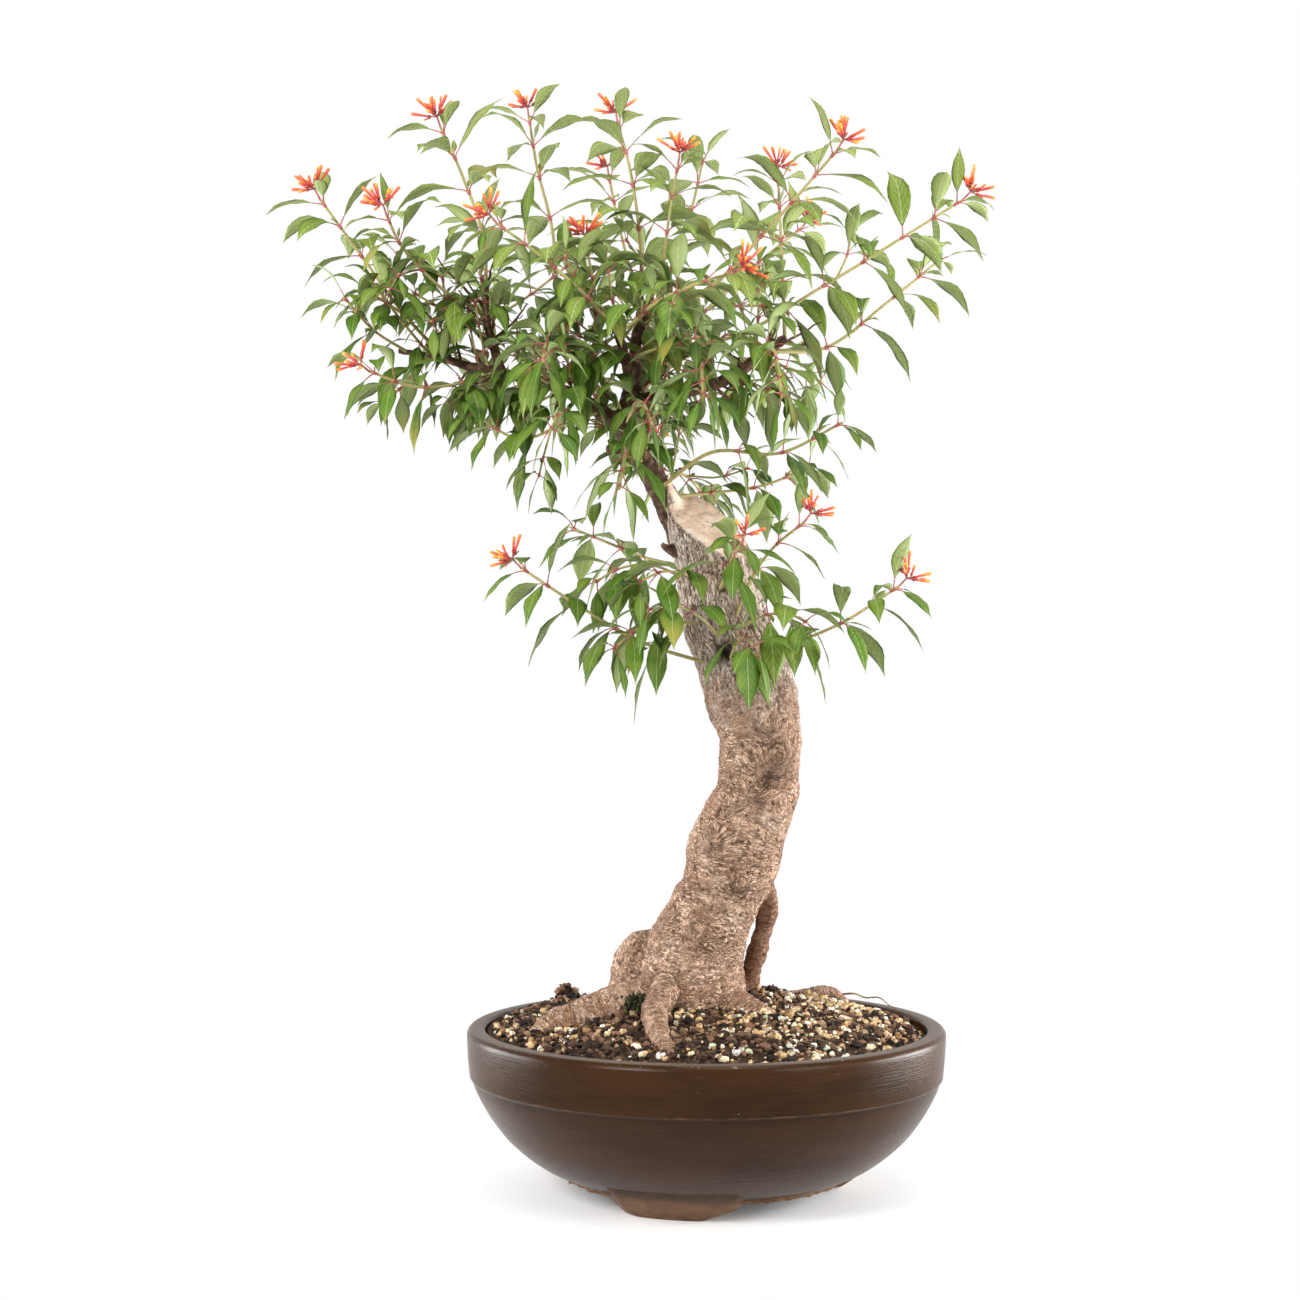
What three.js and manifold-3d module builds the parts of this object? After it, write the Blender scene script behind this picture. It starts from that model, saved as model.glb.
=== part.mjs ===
// Firebush bonsai in its round clay pot. Millimetres, +Z up, X to the right as seen from the front,
// and the front of the tree looks along -Y. The tree is laid out round the pot's own axis, and the whole
// group is moved at the end so that the origin is the middle of its footprint, on the table.
import * as THREE from 'three';
import { mergeVertices } from 'three/addons/utils/BufferGeometryUtils.js';
import Module from 'manifold-3d';

const wasm = await Module();
wasm.setup();
const { Manifold, Mesh: SolidMesh } = wasm;

// Pot
const POT_DIAMETER = 405;
const POT_HEIGHT = 140;
const POT_WALL = 14;
const POT_BASE_RADIUS = 118;
const POT_SIDES = 32;
const FOOT_HEIGHT = 16;
const FOOT_BEARINGS = [-12, 108, 228];
const DRAIN_RADIUS = 15;
const FLOOR_TOP = FOOT_HEIGHT + POT_WALL;

// Drainage screen
const SCREEN_RADIUS = 22;
const SCREEN_THICKNESS = 1.2;
const SCREEN_HOLE = 7;
const SCREEN_PITCH = 11;

// Soil
const SOIL_EDGE_RADIUS = 185.6;
const SOIL_EDGE_HEIGHT = 134;
const SOIL_HEAP = 27;
const SOIL_CLOD = 2.6;

// Clearance between pieces that touch
const GAP = 0.3;

// Leaves and young stems
const LEAF_LENGTH = 50;
const LEAF_HALF_WIDTH = 0.19;
const LEAF_THICKNESS = 1.5;
const LEAF_STRETCHES = [0.36, 0.33, 0.31];
const LEAF_BENDS = [0.3, 0.75, 1.05];
const LEAF_NARROWING = 0.66;
const PETIOLE_LENGTH = 9;
const PETIOLE_RADIUS = 0.85;
const STALK_FOOT = 4.5;
const FIRST_WHORL = 5;
const WHORL_STEP = 22;
const WHORL_STEP_GROWTH = 8;
const WHORL_STEP_MOST = 38;
const STEM_BASE_RADIUS = 3;
const STEM_TIP_RADIUS = 2;
const STEM_SIDES = 3;
const LEAVES_A_WHORL = 3;
const LEAF_SHARE = 0.6;
const LEAF_LIMIT = 7;

// Blooms
const TUBE_LENGTH = 18;
const TUBE_RADIUS = 1.6;
const STALK_LENGTH = 9;
const STALK_RADIUS = 1.1;
const HUB_RADIUS = 3.2;
const TUBES = 6;
const TUBE_TURN = 2.4;
const FAN_INNER_ANGLE = 0.35;
const FAN_WIDTH = 0.95;

const UP = new THREE.Vector3(0, 0, 1);

// The same row of numbers between 0 and 1 for the same seed.
function seededDraw(seed) {
  let state = seed;
  return () => {
    state = (state * 16807) % 2147483647;
    return state / 2147483647;
  };
}

// Closed solids from rings of points

function toSolid(geometry) {
  const bare = geometry.clone();
  bare.deleteAttribute('normal');
  bare.deleteAttribute('uv');
  const welded = mergeVertices(bare, 1e-4);
  const triVerts = [];
  const index = welded.index.array;
  for (let i = 0; i < index.length; i += 3) {
    const [a, b, c] = [index[i], index[i + 1], index[i + 2]];
    if (a !== b && b !== c && c !== a) triVerts.push(a, b, c);
  }
  const vertProperties = new Float32Array(welded.attributes.position.array);
  return new Manifold(new SolidMesh({ numProp: 3, vertProperties, triVerts: new Uint32Array(triVerts) }));
}

function toGeometry(solid) {
  const mesh = solid.getMesh();
  const geometry = new THREE.BufferGeometry();
  geometry.setAttribute('position', new THREE.BufferAttribute(new Float32Array(mesh.vertProperties), 3));
  geometry.setIndex(new THREE.BufferAttribute(new Uint32Array(mesh.triVerts), 1));
  geometry.computeVertexNormals();
  return geometry;
}

function joined(solids) {
  return solids.reduce((sum, solid) => sum.add(solid));
}

function largestBody(solid) {
  return solid.decompose().reduce((best, body) => (body.volume() > best.volume() ? body : best));
}

// Triangles between one ring of points and the next, whose counts may differ.
function joinRings(index, lower, lowerCount, upper, upperCount) {
  const lowerSteps = lowerCount > 1 ? lowerCount : 0;
  const upperSteps = upperCount > 1 ? upperCount : 0;
  let i = 0;
  let j = 0;
  while (i < lowerSteps || j < upperSteps) {
    const stepLower = j >= upperSteps || (i < lowerSteps && (i + 1) * upperCount <= (j + 1) * lowerCount);
    if (stepLower) {
      index.push(lower + i, lower + ((i + 1) % lowerCount), upper + (j % upperCount));
      i += 1;
    } else {
      index.push(lower + (i % lowerCount), upper + ((j + 1) % upperCount), upper + j);
      j += 1;
    }
  }
}

// A closed skin through rings of points, each ring anticlockwise as seen from ahead.
function loft(rings) {
  const position = rings.flat().flatMap((point) => [point.x, point.y, point.z]);
  const index = [];
  let start = 0;
  rings.forEach((ring, i) => {
    const next = rings[i + 1];
    if (next) joinRings(index, start, ring.length, start + ring.length, next.length);
    for (let k = 1; k + 1 < ring.length; k += 1) {
      if (i === 0) index.push(start, start + k + 1, start + k);
      if (!next) index.push(start, start + k, start + k + 1);
    }
    start += ring.length;
  });
  const geometry = new THREE.BufferGeometry();
  geometry.setAttribute('position', new THREE.Float32BufferAttribute(position, 3));
  geometry.setIndex(index);
  return geometry;
}

function smoothLine(points) {
  const places = points.map((point) => new THREE.Vector3(...point));
  return new THREE.CatmullRomCurve3(places, false, 'centripetal');
}

// A direction square to the given one, level where it can be.
function squareTo(ahead) {
  const other = Math.abs(ahead.y) < 0.9 ? new THREE.Vector3(0, 1, 0) : UP;
  return new THREE.Vector3().crossVectors(ahead, other).normalize();
}

// A closed round skin through the given places on a line.
function skinThrough(places, sides, radiusAt) {
  let side = null;
  const rings = places.map(({ share, centre, ahead }) => {
    side = side || squareTo(ahead);
    side = side.clone().addScaledVector(ahead, -side.dot(ahead)).normalize();
    const top = new THREE.Vector3().crossVectors(ahead, side);
    return Array.from({ length: sides }, (_, i) => {
      const turn = (2 * Math.PI * i) / sides;
      const radius = radiusAt(share, turn);
      const [across, up] = [Math.cos(turn) * radius, Math.sin(turn) * radius];
      return centre.clone().addScaledVector(side, across).addScaledVector(top, up);
    });
  });
  return toSolid(loft(rings));
}

// A tapering limb with slight lumps, which has each of the radii at its own point.
function limb(points, radii, sides, count, lumps = 0) {
  const line = smoothLine(points);
  const places = Array.from({ length: count + 1 }, (_, i) => {
    const share = i / count;
    return { share, centre: line.getPoint(share), ahead: line.getTangent(share) };
  });
  return skinThrough(places, sides, (share, turn) => {
    const place = share * (radii.length - 1);
    const before = Math.min(Math.floor(place), radii.length - 2);
    const radius = THREE.MathUtils.lerp(radii[before], radii[before + 1], place - before);
    return radius * (1 + lumps * (Math.sin(3 * turn + share * 17) + 0.6 * Math.sin(5 * turn - share * 26)));
  });
}

// Pot: wall, floor and feet

// Outer outline of the wall, radius and height, from the base edge to the top of the rim.
const POT_RADIUS = POT_DIAMETER / 2;
const POT_OUTLINE = [
  [POT_BASE_RADIUS, FOOT_HEIGHT], [143, 27.5], [168, 47.5], [184, 68], [195, 88], [197.6, 97.5], [199.8, 99],
  [POT_RADIUS - 0.6, 120], [POT_RADIUS, 133], [POT_RADIUS - 2.5, 138.5], [POT_RADIUS - 6, POT_HEIGHT],
];
// Inner outline, from the rim down to the floor.
const POT_LINING = [
  [POT_RADIUS - 13, POT_HEIGHT], [186.5, SOIL_EDGE_HEIGHT], [184.5, 100], [170, 68], [112, FLOOR_TOP],
];

function potFoot(bearing) {
  const innerRadius = 88;
  const outerRadius = POT_BASE_RADIUS - 1;
  const soleHalfAngle = 17;
  const topHalfAngle = 31;
  const block = new THREE.BoxGeometry(2, 1, 1, 6, 1, 2);
  const position = block.attributes.position;
  for (let i = 0; i < position.count; i += 1) {
    const height = position.getZ(i) + 0.5;
    const halfAngle = THREE.MathUtils.lerp(soleHalfAngle, topHalfAngle, height ** 2.2);
    const angle = THREE.MathUtils.degToRad(bearing + position.getX(i) * halfAngle);
    const radius = THREE.MathUtils.lerp(outerRadius - 2 + 2 * height, innerRadius, position.getY(i) + 0.5);
    position.setXYZ(i, radius * Math.sin(angle), -radius * Math.cos(angle), height * (FOOT_HEIGHT + 2));
  }
  return toSolid(block);
}

function potSolid() {
  const drainBottom = [DRAIN_RADIUS, FOOT_HEIGHT];
  const outline = [drainBottom, ...POT_OUTLINE, ...POT_LINING, [DRAIN_RADIUS, FLOOR_TOP], drainBottom];
  const profile = outline.map(([radius, height]) => new THREE.Vector2(radius, height));
  const wall = new THREE.LatheGeometry(profile, POT_SIDES).rotateX(Math.PI / 2);
  return joined([toSolid(wall), ...FOOT_BEARINGS.map(potFoot)]);
}

// Drainage screen: a thin plate over the drain hole

function screenSolid() {
  const middle = FLOOR_TOP + GAP + SCREEN_THICKNESS / 2;
  const disc = new THREE.CylinderGeometry(SCREEN_RADIUS, SCREEN_RADIUS, SCREEN_THICKNESS, 18);
  let plate = toSolid(disc.rotateX(Math.PI / 2).translate(0, 0, middle));
  for (let column = -1; column <= 1; column += 1) {
    for (let row = -1; row <= 1; row += 1) {
      const hole = new THREE.BoxGeometry(SCREEN_HOLE, SCREEN_HOLE, SCREEN_THICKNESS * 3);
      hole.translate(column * SCREEN_PITCH, row * SCREEN_PITCH, middle);
      plate = plate.subtract(toSolid(hole));
    }
  }
  return plate;
}

// Tree wood: trunk, roots and old branches

// Trunk: centre and radius, from the root ball in the soil to above the chop.
const TRUNK = [
  [[-12, 4, 122], 46], [[-12, 3, 160], 48], [[-11, 2, 195], 42.5], [[0, 0, 226], 38],
  [[14, 0, 254], 35], [[22, 0, 280], 40.5], [[31.5, 0, 308], 38.5], [[42.5, 0, 334], 34.5],
  [[46, 0, 364], 34], [[46, 0, 386], 35.5], [[39, 0, 416], 39], [[31, 0, 444], 38],
  [[23, 0, 466], 36.5], [[14, 0, 489], 37], [[6, 2, 532], 32.5], [[-2.5, 4, 560], 29.5],
  [[-5, 6, 612], 28],
];
// The chop: an oblique cut that falls towards the front and to the right.
const CHOP_HEIGHT = 565;
const CHOP_FALL_FRONT = 0.7;
const CHOP_FALL_RIGHT = 0.3;

// Roots, buttress, leader and old branches: points, and radii along them.
const WOOD = {
  buttress: [[[8, 12, 214], [-30, 16, 202], [-50, 19, 194], [-58, 21, 178], [-60, 22, 134]],
    [14, 18, 26, 24, 28]],
  rootLeg: [[[44, 8, 278], [53, 13, 242], [48, 17, 214], [41, 20, 186], [38, 22, 138]],
    [9, 9.5, 8.5, 8.5, 9]],
  leftRoot: [[[-30, -8, 166], [-62, -26, 162], [-90, -42, 157], [-122, -52, 148], [-150, -62, 135]],
    [22, 18, 15, 11, 6]],
  frontRoot: [[[-30, -22, 180], [-43, -64, 162], [-42, -104, 153], [-32, -148, 137]],
    [14, 11.5, 10.5, 8]],
  archRoot: [[[10, 22, 150], [52, 58, 150], [88, 79, 153], [112, 84, 155], [130, 86, 140]],
    [16, 9, 6, 6, 5]],
  backRoot: [[[-8, 26, 166], [12, 70, 158], [30, 108, 150], [44, 146, 132]], [20, 12, 10, 7]],
  rightRoot: [[[12, -14, 158], [46, -42, 150], [72, -60, 138]], [20, 12, 8]],
  leader: [[[-28, 6, 545], [-33, 5, 585], [-48, 2, 608], [-63, 0, 631], [-68, 0, 650],
    [-65, 0, 672], [-61, 0, 705], [-58, 0, 728], [-41, 0, 753]],
  [14, 12, 10, 9, 8.5, 7.5, 6, 5, 4]],
  leftBranch: [[[-64, 0, 658], [-79, 0, 655], [-91, 0, 662], [-124, -4, 680], [-158, -10, 689],
    [-201, -10, 698], [-235, -4, 708], [-262, 0, 712]],
  [7, 6.5, 6.5, 5.5, 4.5, 4, 3.2, 2.5]],
  leftRiser: [[[-172, -10, 690], [-186, -6, 738], [-187, 0, 769]], [4, 3.6, 3]],
  rightBranch: [[[-66, 0, 664], [-39, 2, 674], [12, 4, 686], [38, 8, 702], [69, 16, 725]],
    [7, 6.5, 5.5, 5, 4]],
  leaderSpur: [[[-64, 0, 629], [-85, -3, 628]], [5, 4]],
  frontBranch: [[[-63, 0, 684], [-68, -35, 703], [-75, -75, 722]], [6, 5, 3.5]],
  backBranch: [[[-64, 0, 676], [-55, 45, 697], [-40, 90, 722]], [6, 5, 3.5]],
  trunkSpur: [[[-22, -6, 540], [-40, -10, 537]], [6, 4]],
};
const WOOD_STEP = 30;
const TRUNK_SIDES = 12;
const TRUNK_RINGS = 20;

function chopCutter() {
  const depth = 120;
  const block = new THREE.BoxGeometry(300, 300, depth);
  const position = block.attributes.position;
  for (let i = 0; i < position.count; i += 1) {
    const [x, y, z] = [position.getX(i), position.getY(i), position.getZ(i)];
    position.setZ(i, z + depth / 2 + CHOP_HEIGHT + CHOP_FALL_FRONT * y - CHOP_FALL_RIGHT * x);
  }
  return toSolid(block);
}

function woodSides(radius) {
  if (radius < 9) return 5;
  return radius > 18 ? 8 : 6;
}

// The whole grown wood, made thicker by the given amount where room is cut for it in other pieces.
function woodSolid(extra = 0) {
  const points = TRUNK.map(([[x, y, z]], i) => [x, y, i === 0 ? z - extra : z]);
  const radii = TRUNK.map(([, radius]) => radius + extra);
  const trunk = limb(points, radii, TRUNK_SIDES, TRUNK_RINGS, 0.035).subtract(chopCutter());
  const limbs = Object.values(WOOD).map(([path, bareRadii]) => {
    const thick = bareRadii.map((radius) => radius + extra);
    const [beforeEnd, end] = path.slice(-2).map((point) => new THREE.Vector3(...point));
    const longer = end.clone().add(end.clone().sub(beforeEnd).setLength(extra));
    const count = Math.max(path.length - 1, Math.round(smoothLine(path).getLength() / WOOD_STEP));
    const sides = woodSides(Math.max(...bareRadii));
    return limb([...path.slice(0, -1), longer.toArray()], thick, sides, count, 0.03);
  });
  return joined([trunk, ...limbs]);
}

// Soil: heaped in the pot round the roots

function soilHeight(x, y) {
  const reach = Math.min(Math.hypot(x + 8, y - 6) / 190, 1);
  return SOIL_EDGE_HEIGHT + SOIL_HEAP * (1 - reach ** 2);
}

function soilSolid(grownWood) {
  const draw = seededDraw(41);
  const lining = [[0, FLOOR_TOP + GAP], [111.4, FLOOR_TOP + GAP], [169, 68.6], [183.7, 100]];
  const topRings = [SOIL_EDGE_RADIUS, 160, 130, 96, 56, 0].map((radius) => [radius, POT_HEIGHT]);
  const profile = [...lining, ...topRings].map(([radius, height]) => new THREE.Vector2(radius, height));
  const lathe = new THREE.LatheGeometry(profile, 24).rotateX(Math.PI / 2);
  const bed = mergeVertices(lathe.deleteAttribute('normal').deleteAttribute('uv'), 1e-3);
  const points = bed.attributes.position;
  for (let i = 0; i < points.count; i += 1) {
    const [x, y] = [points.getX(i), points.getY(i)];
    const clod = Math.hypot(x, y) > SOIL_EDGE_RADIUS - 5 ? 0 : (draw() - 0.5) * 2 * SOIL_CLOD;
    if (points.getZ(i) > POT_HEIGHT - 1) points.setZ(i, soilHeight(x, y) + clod);
  }
  const roomRadius = SCREEN_RADIUS + 1;
  const roomHeight = 2 * (SCREEN_THICKNESS + 2 * GAP);
  const room = new THREE.CylinderGeometry(roomRadius, roomRadius, roomHeight, 12);
  const screenRoom = toSolid(room.rotateX(Math.PI / 2).translate(0, 0, FLOOR_TOP + GAP));
  return largestBody(toSolid(bed).subtract(screenRoom).subtract(grownWood));
}

// Sprays: young stems and their leaves

// Each young stem: its line from the wood to its tip, whether a bloom stands on it, how much of its foot is
// bare, and the spray that it forks from where it isn't one by itself.
const SPRAYS = [
  { name: 'top_left', bloom: 1, bare: 0.3,
    line: [[-187, 0, 766], [-188, -6, 805], [-207, -17, 861], [-223, -25, 896]] },
  { name: 'top_mid_left', bloom: 1, bare: 0.4,
    line: [[-138, -8, 684], [-129, 28, 744], [-132, 50, 820], [-146, 60, 879], [-154, 70, 926]] },
  { name: 'top_middle', bloom: 1, bare: 0.15,
    line: [[-59, 2, 722], [-55, 7, 790], [-64, 13, 866], [-75, 20, 910]] },
  { name: 'far_left_high', bloom: 1, bare: 0.2,
    line: [[-222, -5, 706], [-255, -16, 741], [-290, -24, 789], [-322, -40, 833]] },
  { name: 'left_twig', fork: 'far_left_high', bare: 0.3,
    line: [[-252, -15, 738], [-268, -24, 749], [-284, -46, 756]] },
  { name: 'left_high', bloom: 1, bare: 0.25,
    line: [[-187, -5, 742], [-222, -38, 760], [-253, -60, 792], [-262, -80, 812]] },
  { name: 'front_middle', bloom: 1, bare: 0.3,
    line: [[-91, -2, 666], [-94, -24, 712], [-93, -44, 752], [-100, -62, 790]] },
  { name: 'left_low', bloom: 0.6, bare: 0.25,
    line: [[-180, -12, 692], [-215, -42, 678], [-243, -62, 675], [-275, -92, 684]] },
  { name: 'top_mid_right', bloom: 1, bare: 0.15,
    line: [[-42, 0, 752], [-36, -12, 790], [-29, -24, 838], [-24, -32, 864]] },
  { name: 'top_right', bloom: 1, bare: 0.2,
    line: [[68, 16, 723], [67, 28, 775], [65, 39, 835], [64, 46, 868]] },
  { name: 'right_high', bloom: 1, bare: 0.2,
    line: [[-43, -2, 748], [0, -28, 760], [50, -54, 806], [104, -92, 863]] },
  { name: 'far_right_high', bloom: 1, bare: 0.3,
    line: [[-58, -2, 713], [22, -14, 722], [99, -24, 764], [212, -42, 832]] },
  { name: 'right_low', bare: 0.15,
    line: [[54, 12, 713], [104, 36, 719], [160, 47, 761], [208, 60, 801]] },
  { name: 'right_hanging', bare: 0.25,
    line: [[-38, -4, 596], [5, -26, 624], [60, -38, 622], [112, -56, 646]] },
  { name: 'right_under', bare: 0.2,
    line: [[-34, 6, 588], [10, 32, 594], [49, 38, 600], [95, 46, 618]] },
  { name: 'lower_left', bloom: 1, bare: 0.25,
    line: [[4, -18, 446], [-55, -38, 465], [-115, -50, 500], [-154, -62, 526]] },
  { name: 'lower_left_back', bare: 0.25,
    line: [[-20, 18, 530], [-52, 36, 538], [-88, 52, 553], [-118, 72, 566]] },
  { name: 'lower_right', bloom: 1, bare: 0.25,
    line: [[20, -30, 450], [60, -48, 460], [110, -58, 480], [156, -72, 510]] },
  { name: 'lower_right_up', bloom: 1, bare: 0.25,
    line: [[20, -28, 474], [36, -46, 516], [54, -54, 542], [79, -62, 563]] },
  { name: 'lower_front', bloom: 0.8, bare: 0.3,
    line: [[10, -24, 506], [15, -66, 520], [20, -100, 534], [26, -132, 544]] },
  { name: 'left_hanging', bare: 0.3,
    line: [[-90, -3, 660], [-123, -24, 646], [-157, -36, 634], [-196, -52, 656]] },
  { name: 'front_left', bare: 0.25,
    line: [[-124, -8, 680], [-126, -55, 702], [-131, -108, 704], [-131, -158, 684]] },
  { name: 'front_left_low', bare: 0.25,
    line: [[-112, -4, 674], [-114, -52, 672], [-118, -104, 656], [-126, -150, 630]] },
  { name: 'front_low', bare: 0.25,
    line: [[-67, -5, 650], [-60, -50, 662], [-52, -100, 656], [-46, -150, 636]] },
  { name: 'front_right_low', bare: 0.25,
    line: [[-5, -2, 683], [-5, -55, 694], [-6, -110, 684], [-6, -160, 656]] },
  { name: 'front_under', bare: 0.25,
    line: [[-55, -4, 618], [-62, -44, 628], [-68, -86, 614], [-72, -126, 586]] },
  { name: 'front_right', bare: 0.2,
    line: [[45, 6, 705], [50, -50, 712], [54, -104, 694], [56, -152, 656]] },
  { name: 'front_high', bloom: 1, bare: 0.15,
    line: [[-72, -56, 713], [-46, -98, 736], [-10, -130, 749], [18, -152, 754]] },
  { name: 'front_left_high', bloom: 1, bare: 0.2,
    line: [[-75, -73, 721], [-102, -88, 748], [-136, -100, 776], [-170, -112, 800]] },
  { name: 'back_left_high', bare: 0.2,
    line: [[-176, -6, 694], [-184, 60, 738], [-194, 112, 792], [-202, 150, 846]] },
  { name: 'back_middle_high', bloom: 1, bare: 0.15,
    line: [[-40, 88, 721], [-60, 110, 780], [-75, 130, 840], [-85, 146, 890]] },
  { name: 'back_right_high', bloom: 1, bare: 0.15,
    line: [[-44, 74, 713], [-6, 108, 754], [45, 140, 805], [92, 162, 846]] },
  { name: 'back_left', bare: 0.2,
    line: [[-110, -2, 674], [-122, 60, 694], [-152, 120, 702], [-192, 174, 690]] },
  { name: 'back_right', bare: 0.2,
    line: [[12, 6, 686], [35, 62, 704], [70, 120, 714], [112, 170, 704]] },
  { name: 'back_low', bloom: 1, bare: 0.2,
    line: [[-66, 3, 648], [-60, 62, 668], [-50, 130, 672], [-44, 192, 656]] },
  { name: 'back_under', bare: 0.2,
    line: [[-34, 10, 592], [-25, 62, 612], [-10, 112, 610], [6, 156, 590]] },
  { name: 'top_back', bare: 0.15,
    line: [[-42, 3, 750], [-25, 42, 800], [-10, 76, 850], [0, 96, 896]] },
];

// Shares of the stem's length at which leaf whorls stand, from the tip down: close together at the tip,
// wider apart lower down.
function whorlShares(length, bare) {
  const shares = [];
  let distance = FIRST_WHORL;
  let step = WHORL_STEP;
  while (distance < length * (1 - bare)) {
    shares.push(1 - distance / length);
    distance += step;
    step = Math.min(step + WHORL_STEP_GROWTH, WHORL_STEP_MOST);
  }
  return shares;
}

// Shares of the length at which the stem bends: its two ends and halfway between whorls.
function bendShares(line, bare) {
  const whorls = whorlShares(line.getLength(), bare);
  const halfway = whorls.slice(1).map((share, i) => (share + whorls[i]) / 2);
  return [0, ...halfway.reverse(), 1];
}

function stemSolid(spray, extra = 0) {
  const line = smoothLine(spray.line);
  const thickness = (share) => THREE.MathUtils.lerp(STEM_BASE_RADIUS, STEM_TIP_RADIUS, share) + extra;
  const places = bendShares(line, spray.bare)
    .map((share) => ({ share, centre: line.getPointAt(share), ahead: line.getTangentAt(share) }));
  return skinThrough(places, STEM_SIDES, thickness);
}

// The point at a share of the length, on the straight stretch between two bends.
function pointOnStem(line, bare, share) {
  const bends = bendShares(line, bare);
  const after = bends.findIndex((bend) => bend >= share);
  const [low, high] = [bends[after - 1], bends[after]];
  return line.getPointAt(low).lerp(line.getPointAt(high), (share - low) / (high - low));
}

// A leaf on its arched stalk. It folds a little along its rib and bends down towards its drawn-out tip.
function leafSolid({ foot, heading, roll, length, droop }, extra = 0) {
  const headings = [heading];
  LEAF_BENDS.forEach((bend) => {
    const last = headings[headings.length - 1];
    headings.push(last.clone().addScaledVector(UP, -bend * droop).normalize());
  });
  const level = new THREE.Vector3().crossVectors(UP, heading).normalize().negate();
  const frame = headings.map((ahead) => {
    const side = level.clone().applyAxisAngle(ahead, roll);
    side.addScaledVector(ahead, -side.dot(ahead)).normalize();
    return { side, top: new THREE.Vector3().crossVectors(ahead, side) };
  });
  const point = (centre, { side, top }, across, up) => (
    centre.clone().addScaledVector(side, across).addScaledVector(top, up)
  );
  const stalk = (centre, axes) => {
    const radius = PETIOLE_RADIUS + extra;
    return [point(centre, axes, 0, -radius), point(centre, axes, 0.87 * radius, 0.5 * radius),
      point(centre, axes, -0.87 * radius, 0.5 * radius)];
  };
  const blade = (centre, axes, halfWidth) => {
    const across = halfWidth + extra;
    return [point(centre, axes, 0, -LEAF_THICKNESS - extra), point(centre, axes, across, extra),
      point(centre, axes, -across, extra)];
  };
  const bladeStart = foot.clone().addScaledVector(headings[0], PETIOLE_LENGTH);
  const [toBroadest, toNarrowing, toTip] = LEAF_STRETCHES.map((stretch) => stretch * length);
  const broadest = bladeStart.clone().addScaledVector(headings[1], toBroadest);
  const narrowing = broadest.clone().addScaledVector(headings[2], toNarrowing);
  const tip = narrowing.clone().addScaledVector(headings[3], toTip + extra);
  const halfWidth = length * LEAF_HALF_WIDTH;
  const stalkRings = [stalk(foot, frame[0]), stalk(bladeStart, frame[1])];
  const bladeRings = [
    blade(broadest, frame[1], halfWidth), blade(narrowing, frame[2], halfWidth * LEAF_NARROWING), [tip],
  ];
  return toSolid(loft([...stalkRings, ...bladeRings]));
}

// Where each leaf of a spray stands and how it hangs.
function leafPlaces(spray, seed) {
  const draw = seededDraw(seed);
  const line = smoothLine(spray.line);
  const firstTurn = draw() * Math.PI;
  const places = [];
  whorlShares(line.getLength(), spray.bare).forEach((share, whorl) => {
    const node = pointOnStem(line, spray.bare, share);
    const axis = line.getTangentAt(share);
    const side = squareTo(axis);
    const size = [0.66, 0.88, 1][Math.min(whorl, 2)];
    for (let i = 0; i < LEAVES_A_WHORL; i += 1) {
      const place = i * ((2 * Math.PI) / LEAVES_A_WHORL);
      const turn = firstTurn + whorl * (Math.PI / LEAVES_A_WHORL) + place + (draw() - 0.5) * 0.5;
      const outward = side.clone().applyAxisAngle(axis, turn);
      const lift = Math.max(0.75 - 0.12 * whorl + (draw() - 0.5) * 0.3, 0.15);
      const heading = outward.addScaledVector(axis, lift).addScaledVector(UP, 0.12).normalize();
      places.push({
        foot: node.clone().addScaledVector(heading, 0.45),
        heading,
        roll: (draw() - 0.5) * 0.9,
        length: LEAF_LENGTH * size * (0.86 + 0.3 * draw()),
        droop: 0.55 + 0.13 * Math.min(whorl, 3) + 0.4 * draw(),
        order: draw() - (whorl === 0 && i < 2 ? 1 : 0),
      });
    }
  });
  return places;
}

// Blooms at the tips of the young stems

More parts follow.
